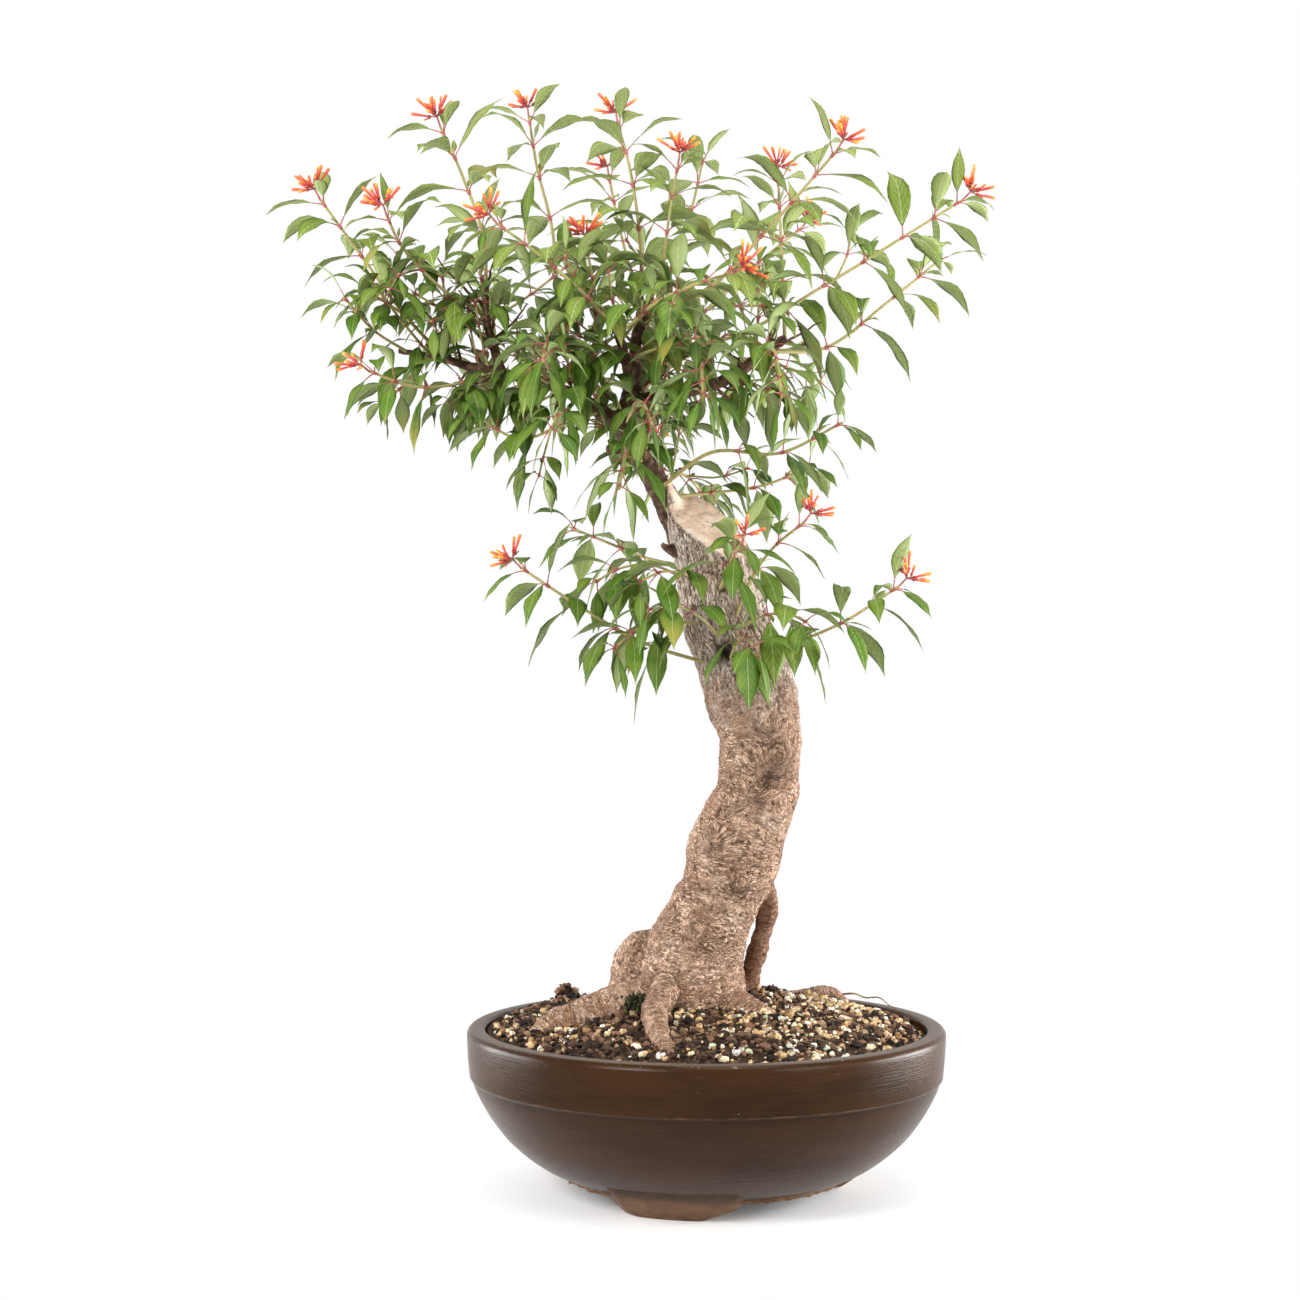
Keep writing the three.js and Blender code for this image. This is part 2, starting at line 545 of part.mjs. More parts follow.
// A short forked stalk that ends in slender tubes, spread like a loose fan round the stem's own heading.
function bloomSolid(spray, seed) {
  const draw = seededDraw(seed);
  const line = smoothLine(spray.line);
  const tipHeading = line.getTangentAt(1);
  const ahead = tipHeading.clone().addScaledVector(UP, 0.35).normalize();
  const foot = line.getPointAt(1).addScaledVector(tipHeading, 2.5 * GAP);
  const side = squareTo(ahead);
  const crown = foot.clone().addScaledVector(ahead, STALK_LENGTH);
  const hub = new THREE.OctahedronGeometry(HUB_RADIUS).translate(crown.x, crown.y, crown.z);
  const pieces = [toSolid(hub), limb([foot.toArray(), crown.toArray()], [STALK_RADIUS, STALK_RADIUS], 3, 1)];
  const tubes = Math.round(TUBES * spray.bloom);
  for (let i = 0; i < tubes; i += 1) {
    const turn = i * TUBE_TURN + draw() * 0.5;
    const spread = FAN_INNER_ANGLE + FAN_WIDTH * Math.sqrt((i + 0.5) / tubes);
    const outward = side.clone().applyAxisAngle(ahead, turn);
    const heading = outward.multiplyScalar(Math.sin(spread)).addScaledVector(ahead, Math.cos(spread));
    const length = TUBE_LENGTH * (0.8 + 0.35 * draw());
    const start = crown.clone().addScaledVector(heading, HUB_RADIUS * 0.35);
    const end = crown.clone().addScaledVector(heading, length);
    const across = new THREE.Vector3().crossVectors(heading, UP).normalize();
    const top = new THREE.Vector3().crossVectors(heading, across);
    const ring = (centre, radius) => [0, 1, 2].map((corner) => {
      const angle = (corner * 2 * Math.PI) / 3;
      const [aside, up] = [radius * Math.cos(angle), radius * Math.sin(angle)];
      return centre.clone().addScaledVector(across, aside).addScaledVector(top, up);
    });
    pieces.push(toSolid(loft([ring(start, TUBE_RADIUS * 0.6), ring(end, TUBE_RADIUS)])));
  }
  return joined(pieces);
}

// The pieces together

function finish(colour, roughness) {
  return new THREE.MeshStandardMaterial({ color: colour, roughness, metalness: 0 });
}

const tree = new THREE.Group();

function addPiece(name, solid, material) {
  const mesh = new THREE.Mesh(toGeometry(solid), material);
  mesh.name = name;
  tree.add(mesh);
}

// Boxes of two solids, with a margin, to skip pairs that are plainly apart.
function near(boxA, boxB) {
  return [0, 1, 2].every((k) => boxA.min[k] < boxB.max[k] + GAP && boxB.min[k] < boxA.max[k] + GAP);
}

function clearOf(solid, others) {
  const box = solid.boundingBox();
  return others.every((other) => !near(box, other.box) || solid.intersect(other.solid).isEmpty());
}

const wood = woodSolid();
const grownWood = woodSolid(GAP);
addPiece('pot', potSolid(), finish(0x4d3c2b, 0.42));
addPiece('drainage_screen', screenSolid(), finish(0x222222, 0.6));
addPiece('soil', soilSolid(grownWood), finish(0x3d2c20, 0.95));
addPiece('trunk', wood, finish(0x9a7d66, 0.85));

// Every placed piece, with the margin that its neighbours keep. A leaf is kept twice: whole, for other
// sprays, and without the foot of its stalk, for the leaves of its own spray.
const placed = [{ solid: grownWood, box: grownWood.boundingBox(), owner: 'trunk' }];
function place(solid, owner, kind = 'whole') {
  placed.push({ solid, box: solid.boundingBox(), owner, kind });
}

const sprays = SPRAYS.filter((spray) => !spray.fork).map((spray) => {
  const parts = [spray, ...SPRAYS.filter((other) => other.fork === spray.name)];
  const stem = largestBody(joined(parts.map((part) => stemSolid(part))).subtract(grownWood));
  parts.forEach((part) => {
    place(stemSolid(part, GAP).subtract(grownWood), spray.name);
    place(stemSolid(part, GAP), spray.name, 'outer');
  });
  return { spray, parts, stem };
});

const blooms = SPRAYS.filter((spray) => spray.bloom).map((spray, i) => {
  const solid = bloomSolid(spray, 500 + 19 * i);
  place(solid, `bloom_${spray.name}`);
  return { spray, solid };
});

const leafColour = finish(0x6f9148, 0.6);
sprays.forEach(({ spray, parts, stem }) => {
  const leaves = [];
  const places = parts.flatMap((part) => leafPlaces(part, 1000 + 37 * SPRAYS.indexOf(part)));
  places.sort((a, b) => a.order - b.order);
  const wanted = Math.min(LEAF_LIMIT, Math.round(places.length * LEAF_SHARE));
  for (const leaf of places) {
    if (leaves.length >= wanted) break;
    const whole = leafSolid(leaf, GAP);
    const outerFoot = leaf.foot.clone().addScaledVector(leaf.heading, STALK_FOOT);
    const outer = leafSolid({ ...leaf, foot: outerFoot }, GAP);
    const foreign = placed.filter(({ owner, kind }) => owner !== spray.name && kind === 'whole');
    const own = placed.filter(({ owner, kind }) => owner === spray.name && kind === 'outer');
    if (!clearOf(whole, foreign) || !clearOf(outer, own)) continue;
    leaves.push(leafSolid(leaf));
    place(whole, spray.name);
    place(outer, spray.name, 'outer');
  }
  addPiece(`spray_${spray.name}`, largestBody(joined([stem, ...leaves])), leafColour);
});

const bloomColour = finish(0xe2582c, 0.55);
blooms.forEach(({ spray, solid }) => addPiece(`bloom_${spray.name}`, solid, bloomColour));

// The origin is the middle of the footprint, on the table under the feet.
const extent = new THREE.Box3().setFromObject(tree);
const middle = extent.getCenter(new THREE.Vector3());
tree.position.set(-middle.x, -middle.y, -extent.min.z);

export default tree;
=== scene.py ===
# Firebush bonsai in a round clay pot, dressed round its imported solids. Metres, +Z up, front towards -Y.
import math
import random

import bmesh
import bpy
import numpy as np
from mathutils import Matrix, Vector, noise


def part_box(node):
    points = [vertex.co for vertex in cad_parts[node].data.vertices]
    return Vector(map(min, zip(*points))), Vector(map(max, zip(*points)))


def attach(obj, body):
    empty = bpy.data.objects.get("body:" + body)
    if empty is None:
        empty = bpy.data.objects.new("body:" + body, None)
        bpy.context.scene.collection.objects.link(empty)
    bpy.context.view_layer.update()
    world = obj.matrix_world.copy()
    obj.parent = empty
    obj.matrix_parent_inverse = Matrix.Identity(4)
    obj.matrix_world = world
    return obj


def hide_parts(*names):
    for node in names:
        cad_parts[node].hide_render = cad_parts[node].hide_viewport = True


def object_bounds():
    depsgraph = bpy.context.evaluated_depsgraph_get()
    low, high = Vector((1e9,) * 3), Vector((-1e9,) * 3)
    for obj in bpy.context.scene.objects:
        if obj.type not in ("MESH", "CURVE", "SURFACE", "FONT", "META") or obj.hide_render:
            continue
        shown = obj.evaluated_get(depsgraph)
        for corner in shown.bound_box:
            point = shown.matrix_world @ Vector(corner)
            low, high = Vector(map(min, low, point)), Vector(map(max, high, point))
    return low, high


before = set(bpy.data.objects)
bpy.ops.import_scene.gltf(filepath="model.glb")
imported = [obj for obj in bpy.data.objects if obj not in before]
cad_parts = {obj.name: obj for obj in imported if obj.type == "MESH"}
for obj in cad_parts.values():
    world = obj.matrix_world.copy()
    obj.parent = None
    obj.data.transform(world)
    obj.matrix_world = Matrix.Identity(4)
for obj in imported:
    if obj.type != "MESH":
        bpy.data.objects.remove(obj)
solid_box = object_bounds()


# Viewpoint, light and floor
# A level camera stands two metres in front of the pot and a little to its left. Soft boxes in front, low
# on both sides and above light the tree on a pale sheet of paper, which fades into a white room.
MM = 0.001
UP = Vector((0, 0, 1))
pot_low, pot_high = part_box("pot")
POT_AXIS = Vector(((pot_low.x + pot_high.x) / 2, (pot_low.y + pot_high.y) / 2, 0))


def in_frame(point):
    """The place of a point that is measured in millimetres from the pot's own axis."""
    return POT_AXIS + Vector(point) * MM


CAMERA_PLACE = (-47.5, -2000, 458)
LIGHT_AIM = (-20, 0, 450)
FLOOR_REACH = 6

lens = bpy.data.cameras.new("camera")
lens.lens = 65.2
lens.sensor_width = 36
camera = bpy.data.objects.new("camera", lens)
camera.location = in_frame(CAMERA_PLACE)
camera.rotation_euler = (math.radians(90), 0, 0)
bpy.context.scene.collection.objects.link(camera)
bpy.context.scene.camera = camera
bpy.context.scene.view_settings.view_transform = "Standard"


def soft_box(name, at, width, power):
    """A square light, aimed at the middle of the tree."""
    lamp = bpy.data.lights.new(name, "AREA")
    lamp.size = width
    lamp.energy = power
    box = bpy.data.objects.new(name, lamp)
    box.location = in_frame(at)
    box.rotation_euler = (in_frame(LIGHT_AIM) - box.location).to_track_quat("-Z", "Y").to_euler()
    bpy.context.scene.collection.objects.link(box)


soft_box("key_light", (-1150, -1500, 1150), 0.6, 37)
soft_box("fill_light", (1450, -1350, 900), 1.0, 22)
soft_box("left_light", (-1150, 260, 160), 0.8, 24)
soft_box("right_light", (1150, 180, 140), 0.8, 42)
soft_box("top_light", (250, -500, 2200), 1.0, 20)

# The room is white behind the tree and dimmer round the camera, so that the front keeps its shading.
room = bpy.data.worlds.new("white_room")
room.use_nodes = True
room_tree = room.node_tree
room_glow = room_tree.nodes["Background"]
room_glow.inputs["Color"].default_value = (1, 1, 1, 1)
room_side = room_tree.nodes.new("ShaderNodeTexCoord")
room_axes = room_tree.nodes.new("ShaderNodeSeparateXYZ")
room_range = room_tree.nodes.new("ShaderNodeMapRange")
room_range.interpolation_type = "SMOOTHSTEP"
for socket, value in (("From Min", 0.1), ("From Max", 0.75), ("To Min", 0.46), ("To Max", 1.0)):
    room_range.inputs[socket].default_value = value
room_tree.links.new(room_side.outputs["Generated"], room_axes.inputs[0])
room_tree.links.new(room_axes.outputs["Y"], room_range.inputs["Value"])
room_tree.links.new(room_range.outputs[0], room_glow.inputs["Strength"])
bpy.context.scene.world = room


def finished_mesh(name, bm):
    """Turns a bmesh into a mesh, and lets go of the bmesh."""
    mesh = bpy.data.meshes.new(name)
    bm.to_mesh(mesh)
    bm.free()
    return mesh


sheet = bmesh.new()
bmesh.ops.create_grid(sheet, x_segments=1, y_segments=1, size=FLOOR_REACH)
floor = bpy.data.objects.new("floor", finished_mesh("floor", sheet))
bpy.context.scene.collection.objects.link(floor)
paper = bpy.data.materials.new("pale_paper")
paper.use_nodes = True
paper_tree = paper.node_tree
paper_shader = paper_tree.nodes["Principled BSDF"]
paper_shader.inputs["Base Color"].default_value = (0.93, 0.93, 0.93, 1)
paper_shader.inputs["Roughness"].default_value = 0.9
# The paper glows white further out, where it meets the room, and only shows shade round the pot.
paper_place = paper_tree.nodes.new("ShaderNodeTexCoord")
paper_reach = paper_tree.nodes.new("ShaderNodeVectorMath")
paper_reach.operation = "LENGTH"
paper_range = paper_tree.nodes.new("ShaderNodeMapRange")
paper_range.interpolation_type = "SMOOTHSTEP"
paper_mix = paper_tree.nodes.new("ShaderNodeMixShader")
paper_glow = paper_tree.nodes.new("ShaderNodeEmission")
for socket, value in (("From Min", 0.13), ("From Max", 0.36)):
    paper_range.inputs[socket].default_value = value
paper_tree.links.new(paper_place.outputs["Object"], paper_reach.inputs[0])
paper_tree.links.new(paper_reach.outputs["Value"], paper_range.inputs["Value"])
paper_tree.links.new(paper_range.outputs[0], paper_mix.inputs[0])
paper_tree.links.new(paper_shader.outputs[0], paper_mix.inputs[1])
paper_tree.links.new(paper_glow.outputs[0], paper_mix.inputs[2])
paper_tree.links.new(paper_mix.outputs[0], paper_tree.nodes["Material Output"].inputs["Surface"])
# The wide glowing sheet isn't sampled as a lamp, because it would draw most samples off the soft boxes.
paper.cycles.emission_sampling = "NONE"
floor.data.materials.append(paper)


# Pot
# A thrown round bowl of brown clay with a satin skin, thinly ribbed by the wheel. A low step runs round
# it under the upright band of the rim, and three bracket feet are pressed on below the trimmed base.
class Wire:
    """A node's output, on which Python's arithmetic builds Math nodes."""

    def __init__(self, finish, socket):
        self.finish = finish
        self.socket = socket

    def math(self, operation, *values):
        return self.finish.node("Math", {"operation": operation}, dict(enumerate(values)))

    def __add__(self, other):
        return self.math("ADD", self, other)

    def __sub__(self, other):
        return self.math("SUBTRACT", self, other)

    def __rsub__(self, other):
        return self.math("SUBTRACT", other, self)

    def __mul__(self, other):
        return self.math("MULTIPLY", self, other)

    def __truediv__(self, other):
        return self.math("DIVIDE", self, other)

    def __abs__(self):
        return self.math("ABSOLUTE", self)

    def fraction(self):
        return self.math("FRACT", self)

    def at_most(self, limit):
        return self.math("MINIMUM", self, limit)

    __radd__ = __add__
    __rmul__ = __mul__

    def step(self, low, high):
        """0 below the low value, 1 above the high one, and smooth between them."""
        limits = {"Value": self, "From Min": low, "From Max": high}
        if low > high:
            limits = {"Value": self, "From Min": high, "From Max": low, "To Min": 1, "To Max": 0}
        return self.finish.node("MapRange", {"interpolation_type": "SMOOTHSTEP"}, limits)


class Finish:
    """A material with one principled shader, and the nodes that feed it."""

    def __init__(self, name, **constants):
        self.material = bpy.data.materials.new(name)
        self.material.use_nodes = True
        self.tree = self.material.node_tree
        self.shader = self.tree.nodes["Principled BSDF"]
        for socket, value in constants.items():
            self.shader.inputs[socket.replace("_", " ")].default_value = value

    def node(self, kind, settings=None, sockets=None, output=0):
        """A new node. Its sockets take a wire, a number, a vector or a colour's web code."""
        made = self.tree.nodes.new("ShaderNode" + kind)
        for name, value in (settings or {}).items():
            if name == "stops":
                self.set_stops(made.color_ramp, value)
            else:
                setattr(made, name, value)
        for name, value in (sockets or {}).items():
            if isinstance(value, Wire):
                self.tree.links.new(value.socket, made.inputs[name])
            else:
                made.inputs[name].default_value = shade(value) if isinstance(value, str) else value
        return Wire(self, made.outputs[output])

    def set_stops(self, ramp, stops):
        while len(ramp.elements) < len(stops):
            ramp.elements.new(1)
        for element, (position, code) in zip(ramp.elements, stops):
            element.position = position
            element.color = shade(code)

    def object_place(self):
        return self.node("TexCoord", output=3)

    def attribute(self, name, output=2):
        return self.node("Attribute", {"attribute_name": name}, output=output)

    def noise(self, size, detail=4, stretch=(1, 1, 1), source=None, roughness=0.55):
        """Noise with lumps of about the given size in millimetres, drawn out along the axes by stretch."""
        scale = [1 / (size * MM * factor) for factor in stretch]
        spot = self.node("Mapping", sockets={"Vector": source or self.object_place(), "Scale": scale})
        return self.node("TexNoise", sockets={"Vector": spot, "Scale": 1.0, "Detail": detail,
                                              "Roughness": roughness})

    def cells(self, size, source=None, feature="F1", output=0):
        """Distance to the middle, or to the edge, of cells of about the given size in millimetres."""
        spot = self.node("Mapping", sockets={"Vector": source or self.object_place(),
                                             "Scale": [1 / (size * MM)] * 3})
        return self.node("TexVoronoi", {"feature": feature}, {"Vector": spot, "Scale": 1.0}, output)

    def mix(self, factor, first, second):
        return self.node("Mix", {"data_type": "RGBA"}, {0: factor, 6: first, 7: second}, output=2)

    def ramp(self, value, stops):
        return self.node("ValToRGB", {"stops": stops}, {"Fac": value})

    def feed(self, socket, wire):
        self.tree.links.new(wire.socket, self.shader.inputs[socket])

    def relief(self, height, depth):
        """Bumps of the given depth in millimetres, from a height between 0 and 1."""
        self.feed("Normal", self.node("Bump", sockets={"Height": height, "Distance": depth * MM}))


def shade(code):
    """A colour from its web code, in the shader's own linear numbers."""
    parts = [int(code[i:i + 2], 16) / 255 for i in (1, 3, 5)]
    return [part / 12.92 if part <= 0.04045 else ((part + 0.055) / 1.055) ** 2.4 for part in parts] + [1]


class Line:
    """A smooth line through points, with centripetal spacing and a length that can be shared out."""

    STEPS = 200

    def __init__(self, points):
        self.points = [Vector(point) for point in points]
        sampled = [self.point(i / self.STEPS) for i in range(self.STEPS + 1)]
        strides = [(after - before).length for before, after in zip(sampled, sampled[1:])]
        self.lengths = np.concatenate(([0.0], np.cumsum(strides)))
        self.length = float(self.lengths[-1])

    def point(self, share):
        points = self.points
        last = len(points) - 1
        place = min(max(share, 0.0), 1.0) * last
        i = min(int(place), last - 1)
        weight = place - i
        before = points[i - 1] if i > 0 else 2 * points[0] - points[1]
        after = points[i + 2] if i + 2 <= last else 2 * points[last] - points[last - 1]
        start, end = points[i], points[i + 1]
        gap_before = max((start - before).length ** 0.5, 1e-4)
        gap = max((end - start).length ** 0.5, 1e-4)
        gap_after = max((after - end).length ** 0.5, 1e-4)
        leave = ((start - before) / gap_before - (end - before) / (gap_before + gap)
                 + (end - start) / gap) * gap
        arrive = ((end - start) / gap - (after - start) / (gap + gap_after)
                  + (after - end) / gap_after) * gap
        square = 3 * (end - start) - 2 * leave - arrive
        cube = 2 * (start - end) + leave + arrive
        return start + weight * (leave + weight * (square + weight * cube))

    def tangent(self, share):
        low, high = max(share - 1e-4, 0.0), min(share + 1e-4, 1.0)
        return (self.point(high) - self.point(low)).normalized()

    def share_at(self, part):
        return float(np.interp(part * self.length, self.lengths, np.linspace(0, 1, self.STEPS + 1)))

    def point_at(self, part):
        return self.point(self.share_at(part))

    def tangent_at(self, part):
        return self.tangent(self.share_at(part))


def new_piece(name, bm, finishes, nodes=(), smooth=True):
    """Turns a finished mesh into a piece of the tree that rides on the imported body."""
    mesh = finished_mesh(name, bm)
    for finish in finishes:
        mesh.materials.append(finish.material)
    mesh.polygons.foreach_set("use_smooth", [smooth] * len(mesh.polygons))
    piece = bpy.data.objects.new(name, mesh)
    bpy.context.scene.collection.objects.link(piece)
    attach(piece, "root")
    if nodes:
        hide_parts(*nodes)


def take_in(bm, mesh):
    """Adds a mesh to a bmesh, and lets go of the mesh."""
    bm.from_mesh(mesh)
    bpy.data.meshes.remove(mesh)


def paint(faces, material):
    """Gives the faces the material with that number in their piece's list."""
    for face in faces:
        face.material_index = material


def spun(bm, outline, steps, closed=True):
    """Spins an outline of radius and height in millimetres once round the pot's own axis."""
    verts = [bm.verts.new(Vector((radius, 0, height)) * MM) for radius, height in outline]
    pairs = list(zip(verts, verts[1:])) + ([(verts[-1], verts[0])] if closed else [])
    edges = [bm.edges.new(pair) for pair in pairs]
    bmesh.ops.spin(bm, geom=verts + edges, cent=(0, 0, 0), axis=UP, angle=2 * math.pi, steps=steps,
                   use_merge=True)
    bmesh.ops.remove_doubles(bm, verts=bm.verts, dist=1e-6)
    bmesh.ops.recalc_face_normals(bm, faces=bm.faces)


def arc(middle, radius, start, end, steps):
    """Points on a round edge, from one angle to the other in degrees."""
    angles = [math.radians(start + (end - start) * i / steps) for i in range(steps + 1)]
    return [(middle[0] + radius * math.cos(a), middle[1] + radius * math.sin(a)) for a in angles]


POT_RADIUS = (pot_high.x - pot_low.x) / 2 / MM
POT_HEIGHT = pot_high.z / MM
POT_WAVER = 0.5
RIM_OUTER_EDGE = 6
RIM_INNER_EDGE = 4
RIM_INNER_RADIUS = 186.5
BASE_RADIUS = 118
FOOT_HEIGHT = 16
FLOOR_TOP = 30
DRAIN_RADIUS = 15
STEP_HEIGHT = 98.6

belly = Line([(BASE_RADIUS, FOOT_HEIGHT, 0), (143, 27.5, 0), (168, 47.5, 0), (184, 68, 0), (194.8, 88, 0),
              (198.2, 97, 0)])
pot_outline = [tuple(belly.point(i / 30)[:2]) for i in range(31)]
pot_outline += [(198.5, 97.8), (199.4, STEP_HEIGHT), (200.0, STEP_HEIGHT + 0.5), (200.3, STEP_HEIGHT + 1.4)]
pot_outline += [(200.9, 106), (201.6, 114), (202.1, 122), (POT_RADIUS, 130)]
pot_outline += arc((POT_RADIUS - RIM_OUTER_EDGE, POT_HEIGHT - RIM_OUTER_EDGE), RIM_OUTER_EDGE, 0, 90, 8)
pot_outline += arc((RIM_INNER_RADIUS + RIM_INNER_EDGE, POT_HEIGHT - RIM_INNER_EDGE), RIM_INNER_EDGE,
                   90, 180, 6)
pot_outline += [(185.2, 118), (184.5, 100), (179, 82), (170, 68), (144, 47), (112, FLOOR_TOP)]
pot_outline += [(DRAIN_RADIUS + 2, FLOOR_TOP), (DRAIN_RADIUS, FLOOR_TOP - 2), (DRAIN_RADIUS, FOOT_HEIGHT + 1)]
pot_outline += [(DRAIN_RADIUS + 1, FOOT_HEIGHT), (60, FOOT_HEIGHT)]

pot = bmesh.new()
spun(pot, pot_outline, 160)
for vert in pot.verts:
    reach = math.hypot(vert.co.x, vert.co.y) / MM
    waver = noise.noise(Vector((vert.co.x, vert.co.y, vert.co.z * 2)) / 0.055)
    if reach > BASE_RADIUS + 6 and vert.co.z / MM < POT_HEIGHT - 7:
        outward = Vector((vert.co.x, vert.co.y, 0)).normalized()
        vert.co -= outward * abs(waver) * POT_WAVER * MM

# Each foot's front, from its sole up. Its back stands inside the base, and its left flank is rounded out at
# the sole.
FOOT_FRONT_HEIGHTS = (0, 3, 8, 14, 20, 25, 28.5, 31)
FOOT_FRONT_RADII = (115.5, 118.5, 124.3, 131.3, 137.8, 142.4, 144.9, 146.6)
FOOT_BACK_RADIUS = 88
FLANK_BEND_TOP = 0.6
SOLE_ROUNDING = 2.6
SOLE_ROUNDING_TOP = 0.3


def press_foot(bearing, left, right, chips):
    """One bracket foot, pressed up against the belly. Its flanks run from the sole's angle to the top's."""
    foot = bmesh.new()
    bmesh.ops.create_cube(foot, size=2)
    bmesh.ops.subdivide_edges(foot, edges=foot.edges, cuts=15, use_grid_fill=True)
    for vert in foot.verts:
        side, inward, rise = vert.co.x, (vert.co.y + 1) / 2, (vert.co.z + 1) / 2
        low_angle, high_angle = left if side < 0 else right
        spread = rise if side < 0 else 1 - (1 - min(rise / FLANK_BEND_TOP, 1)) ** 1.8
        rounding = SOLE_ROUNDING * max(1 - rise / SOLE_ROUNDING_TOP, 0) ** 2 if side < 0 else 0
        turn = math.radians(bearing + abs(side) * (low_angle + (high_angle - low_angle) * spread + rounding))
        height = rise * FOOT_FRONT_HEIGHTS[-1]
        front = float(np.interp(height, FOOT_FRONT_HEIGHTS, FOOT_FRONT_RADII))
        radius = front + (FOOT_BACK_RADIUS - front) * inward
        edge = max(abs(side), abs(inward * 2 - 1)) ** 10 * (1 - rise)
        crumb = noise.noise(Vector((turn * 16, radius / 7, height / 5)))
        chip = max(noise.noise(Vector((turn * 30, 3, height / 6))), 0) * chips * max(side - 0.55, 0) * 9
        radius -= edge * 1.4 + abs(crumb) * 0.8 + chip
        height += 0.9 * edge * edge + max(abs(side) - 0.9, 0) * 4 * abs(crumb)
        vert.co = Vector((radius * math.sin(turn), -radius * math.cos(turn), height)) * MM
    paint(foot.faces, 1)
    take_in(pot, finished_mesh("foot", foot))


# The bearing of each foot, and the angles of its left and right flanks at the sole and at the top.
press_foot(-12, (-24.5, -22.5), (10.5, 23), chips=1.0)
press_foot(108, (-19, -24), (17, 24), chips=0.5)
press_foot(228, (-19, -24), (17, 24), chips=0.5)

# A ragged bead of clay is left round the base, where it was trimmed.
BEAD_RADIUS = 2.9
BEAD_RAGGED_OUT = 1.7
BEAD_RAGGED_DOWN = 1.3
bead = bmesh.new()
spun(bead, arc((BASE_RADIUS + 0.5, FOOT_HEIGHT + 1.2), BEAD_RADIUS, 0, 315, 7), 220)
for vert in bead.verts:
    outward = Vector((vert.co.x, vert.co.y, 0)).normalized()
    ragged = noise.noise(vert.co / 0.006) + 0.6 * noise.noise(vert.co / 0.0025)
    vert.co += outward * ragged * BEAD_RAGGED_OUT * MM - UP * max(ragged, 0) * BEAD_RAGGED_DOWN * MM
paint(bead.faces, 1)
take_in(pot, finished_mesh("bead", bead))
bmesh.ops.translate(pot, verts=pot.verts, vec=POT_AXIS)

clay = Finish("satin_brown_clay", IOR=1.5, Specular_IOR_Level=0.14)
height = clay.node("SeparateXYZ", sockets={0: clay.object_place()}, output=2) / MM
blotch = clay.noise(60, 3, (1.8, 1.8, 0.5))
throwing = clay.noise(70, 4, (1, 1, 0.016))
fine = clay.noise(1.3, 3)
band = height.step(STEP_HEIGHT - 1, STEP_HEIGHT + 2)
skin = clay.mix(blotch.step(0.32, 0.7), "#2c180a", "#372110")
warm = clay.mix(blotch.step(0.3, 0.62), "#281505", "#351e09")
skin = clay.mix(band, skin, warm)
skin = clay.mix(throwing.step(0.45, 0.75) * 0.25, skin, "#48301a")
step_line = abs(height - (STEP_HEIGHT + 0.5)).step(0.8, 0.2) * clay.noise(16, 2, (1, 1, 3)).step(0.46, 0.66)
skin = clay.mix(step_line * 0.35, skin, "#8a5f34")
# Painted shade darkens a strip just under the step, where the band overhangs the bowl.
under_step_shade = abs(height - (STEP_HEIGHT - 3)).step(2.2, 0.3)
skin = clay.mix(under_step_shade * 0.4, skin, "#1a110b")
scratch = clay.noise(42, 2, (1, 1, 0.012)).step(0.66, 0.74) * clay.noise(24, 2).step(0.52, 0.62)
near_scratches = height.step(124, 130) * height.step(139, 136) + abs(height - 96).step(6, 2)
skin = clay.mix(scratch * near_scratches * 0.5, skin, "#9c8b76")
rim = height.step(POT_HEIGHT - 1.1, POT_HEIGHT - 0.2)
skin = clay.mix(rim * (0.45 + 0.4 * blotch), skin, "#62564c")
worn = height.step(POT_HEIGHT - 3, POT_HEIGHT - 0.8) * clay.noise(4, 4).step(0.62, 0.72)
skin = clay.mix(worn * 0.6, skin, "#a2988b")
pinhole = clay.cells(9).step(0.05, 0.03) * clay.noise(30, 1).step(0.5, 0.56)
skin = clay.mix(pinhole * 0.6, skin, "#b8ac9a")
clay.feed("Base Color", skin)
clay.feed("Roughness", 0.2 + 0.1 * blotch + 0.06 * fine + 0.14 * rim)
clay.relief(0.35 * throwing + 0.1 * fine + 0.2 * clay.noise(9, 3), 0.6)

trimmed_clay = Finish("trimmed_clay", Specular_IOR_Level=0.25)
height = trimmed_clay.node("SeparateXYZ", sockets={0: trimmed_clay.object_place()}, output=2) / MM
cut_patch = trimmed_clay.noise(11, 4)
cut_grit = trimmed_clay.noise(1.4, 4)
trimmed = trimmed_clay.mix(cut_patch.step(0.35, 0.65), "#5c3d26", "#6c4a2c")
# Each foot darkens towards its top, partly into the bowl's own dark clay and partly as painted shade in the
# crease under the belly.
trimmed = trimmed_clay.mix(height.step(13, 26), trimmed, "#33200f")
trimmed = trimmed_clay.mix(cut_grit.step(0.6, 0.7) * cut_patch.step(0.4, 0.6) * 0.7, trimmed, "#ad9170")
trimmed_clay.feed("Base Color", trimmed)
trimmed_clay.feed("Roughness", 0.36 + 0.3 * cut_grit)
trimmed_clay.relief(0.6 * cut_patch + 0.4 * cut_grit, 0.7)
new_piece("pot_bowl", pot, [clay, trimmed_clay], ["pot"])


# Drainage screen
# A thin dark plastic mesh lies over the drain hole in the floor of the pot, and keeps the soil in. It is
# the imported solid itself, with a moulded finish.
screen_plastic = Finish("dark_screen_plastic")
screen_grain = screen_plastic.noise(0.8, 2)
screen_plastic.feed("Base Color", screen_plastic.mix(screen_grain, "#1c1c1b", "#2b2a28"))
screen_plastic.feed("Roughness", 0.55 + 0.2 * screen_grain)
screen_plastic.relief(screen_grain, 0.1)
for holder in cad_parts["drainage_screen"].material_slots:
    holder.link = "OBJECT"
    holder.material = screen_plastic.material


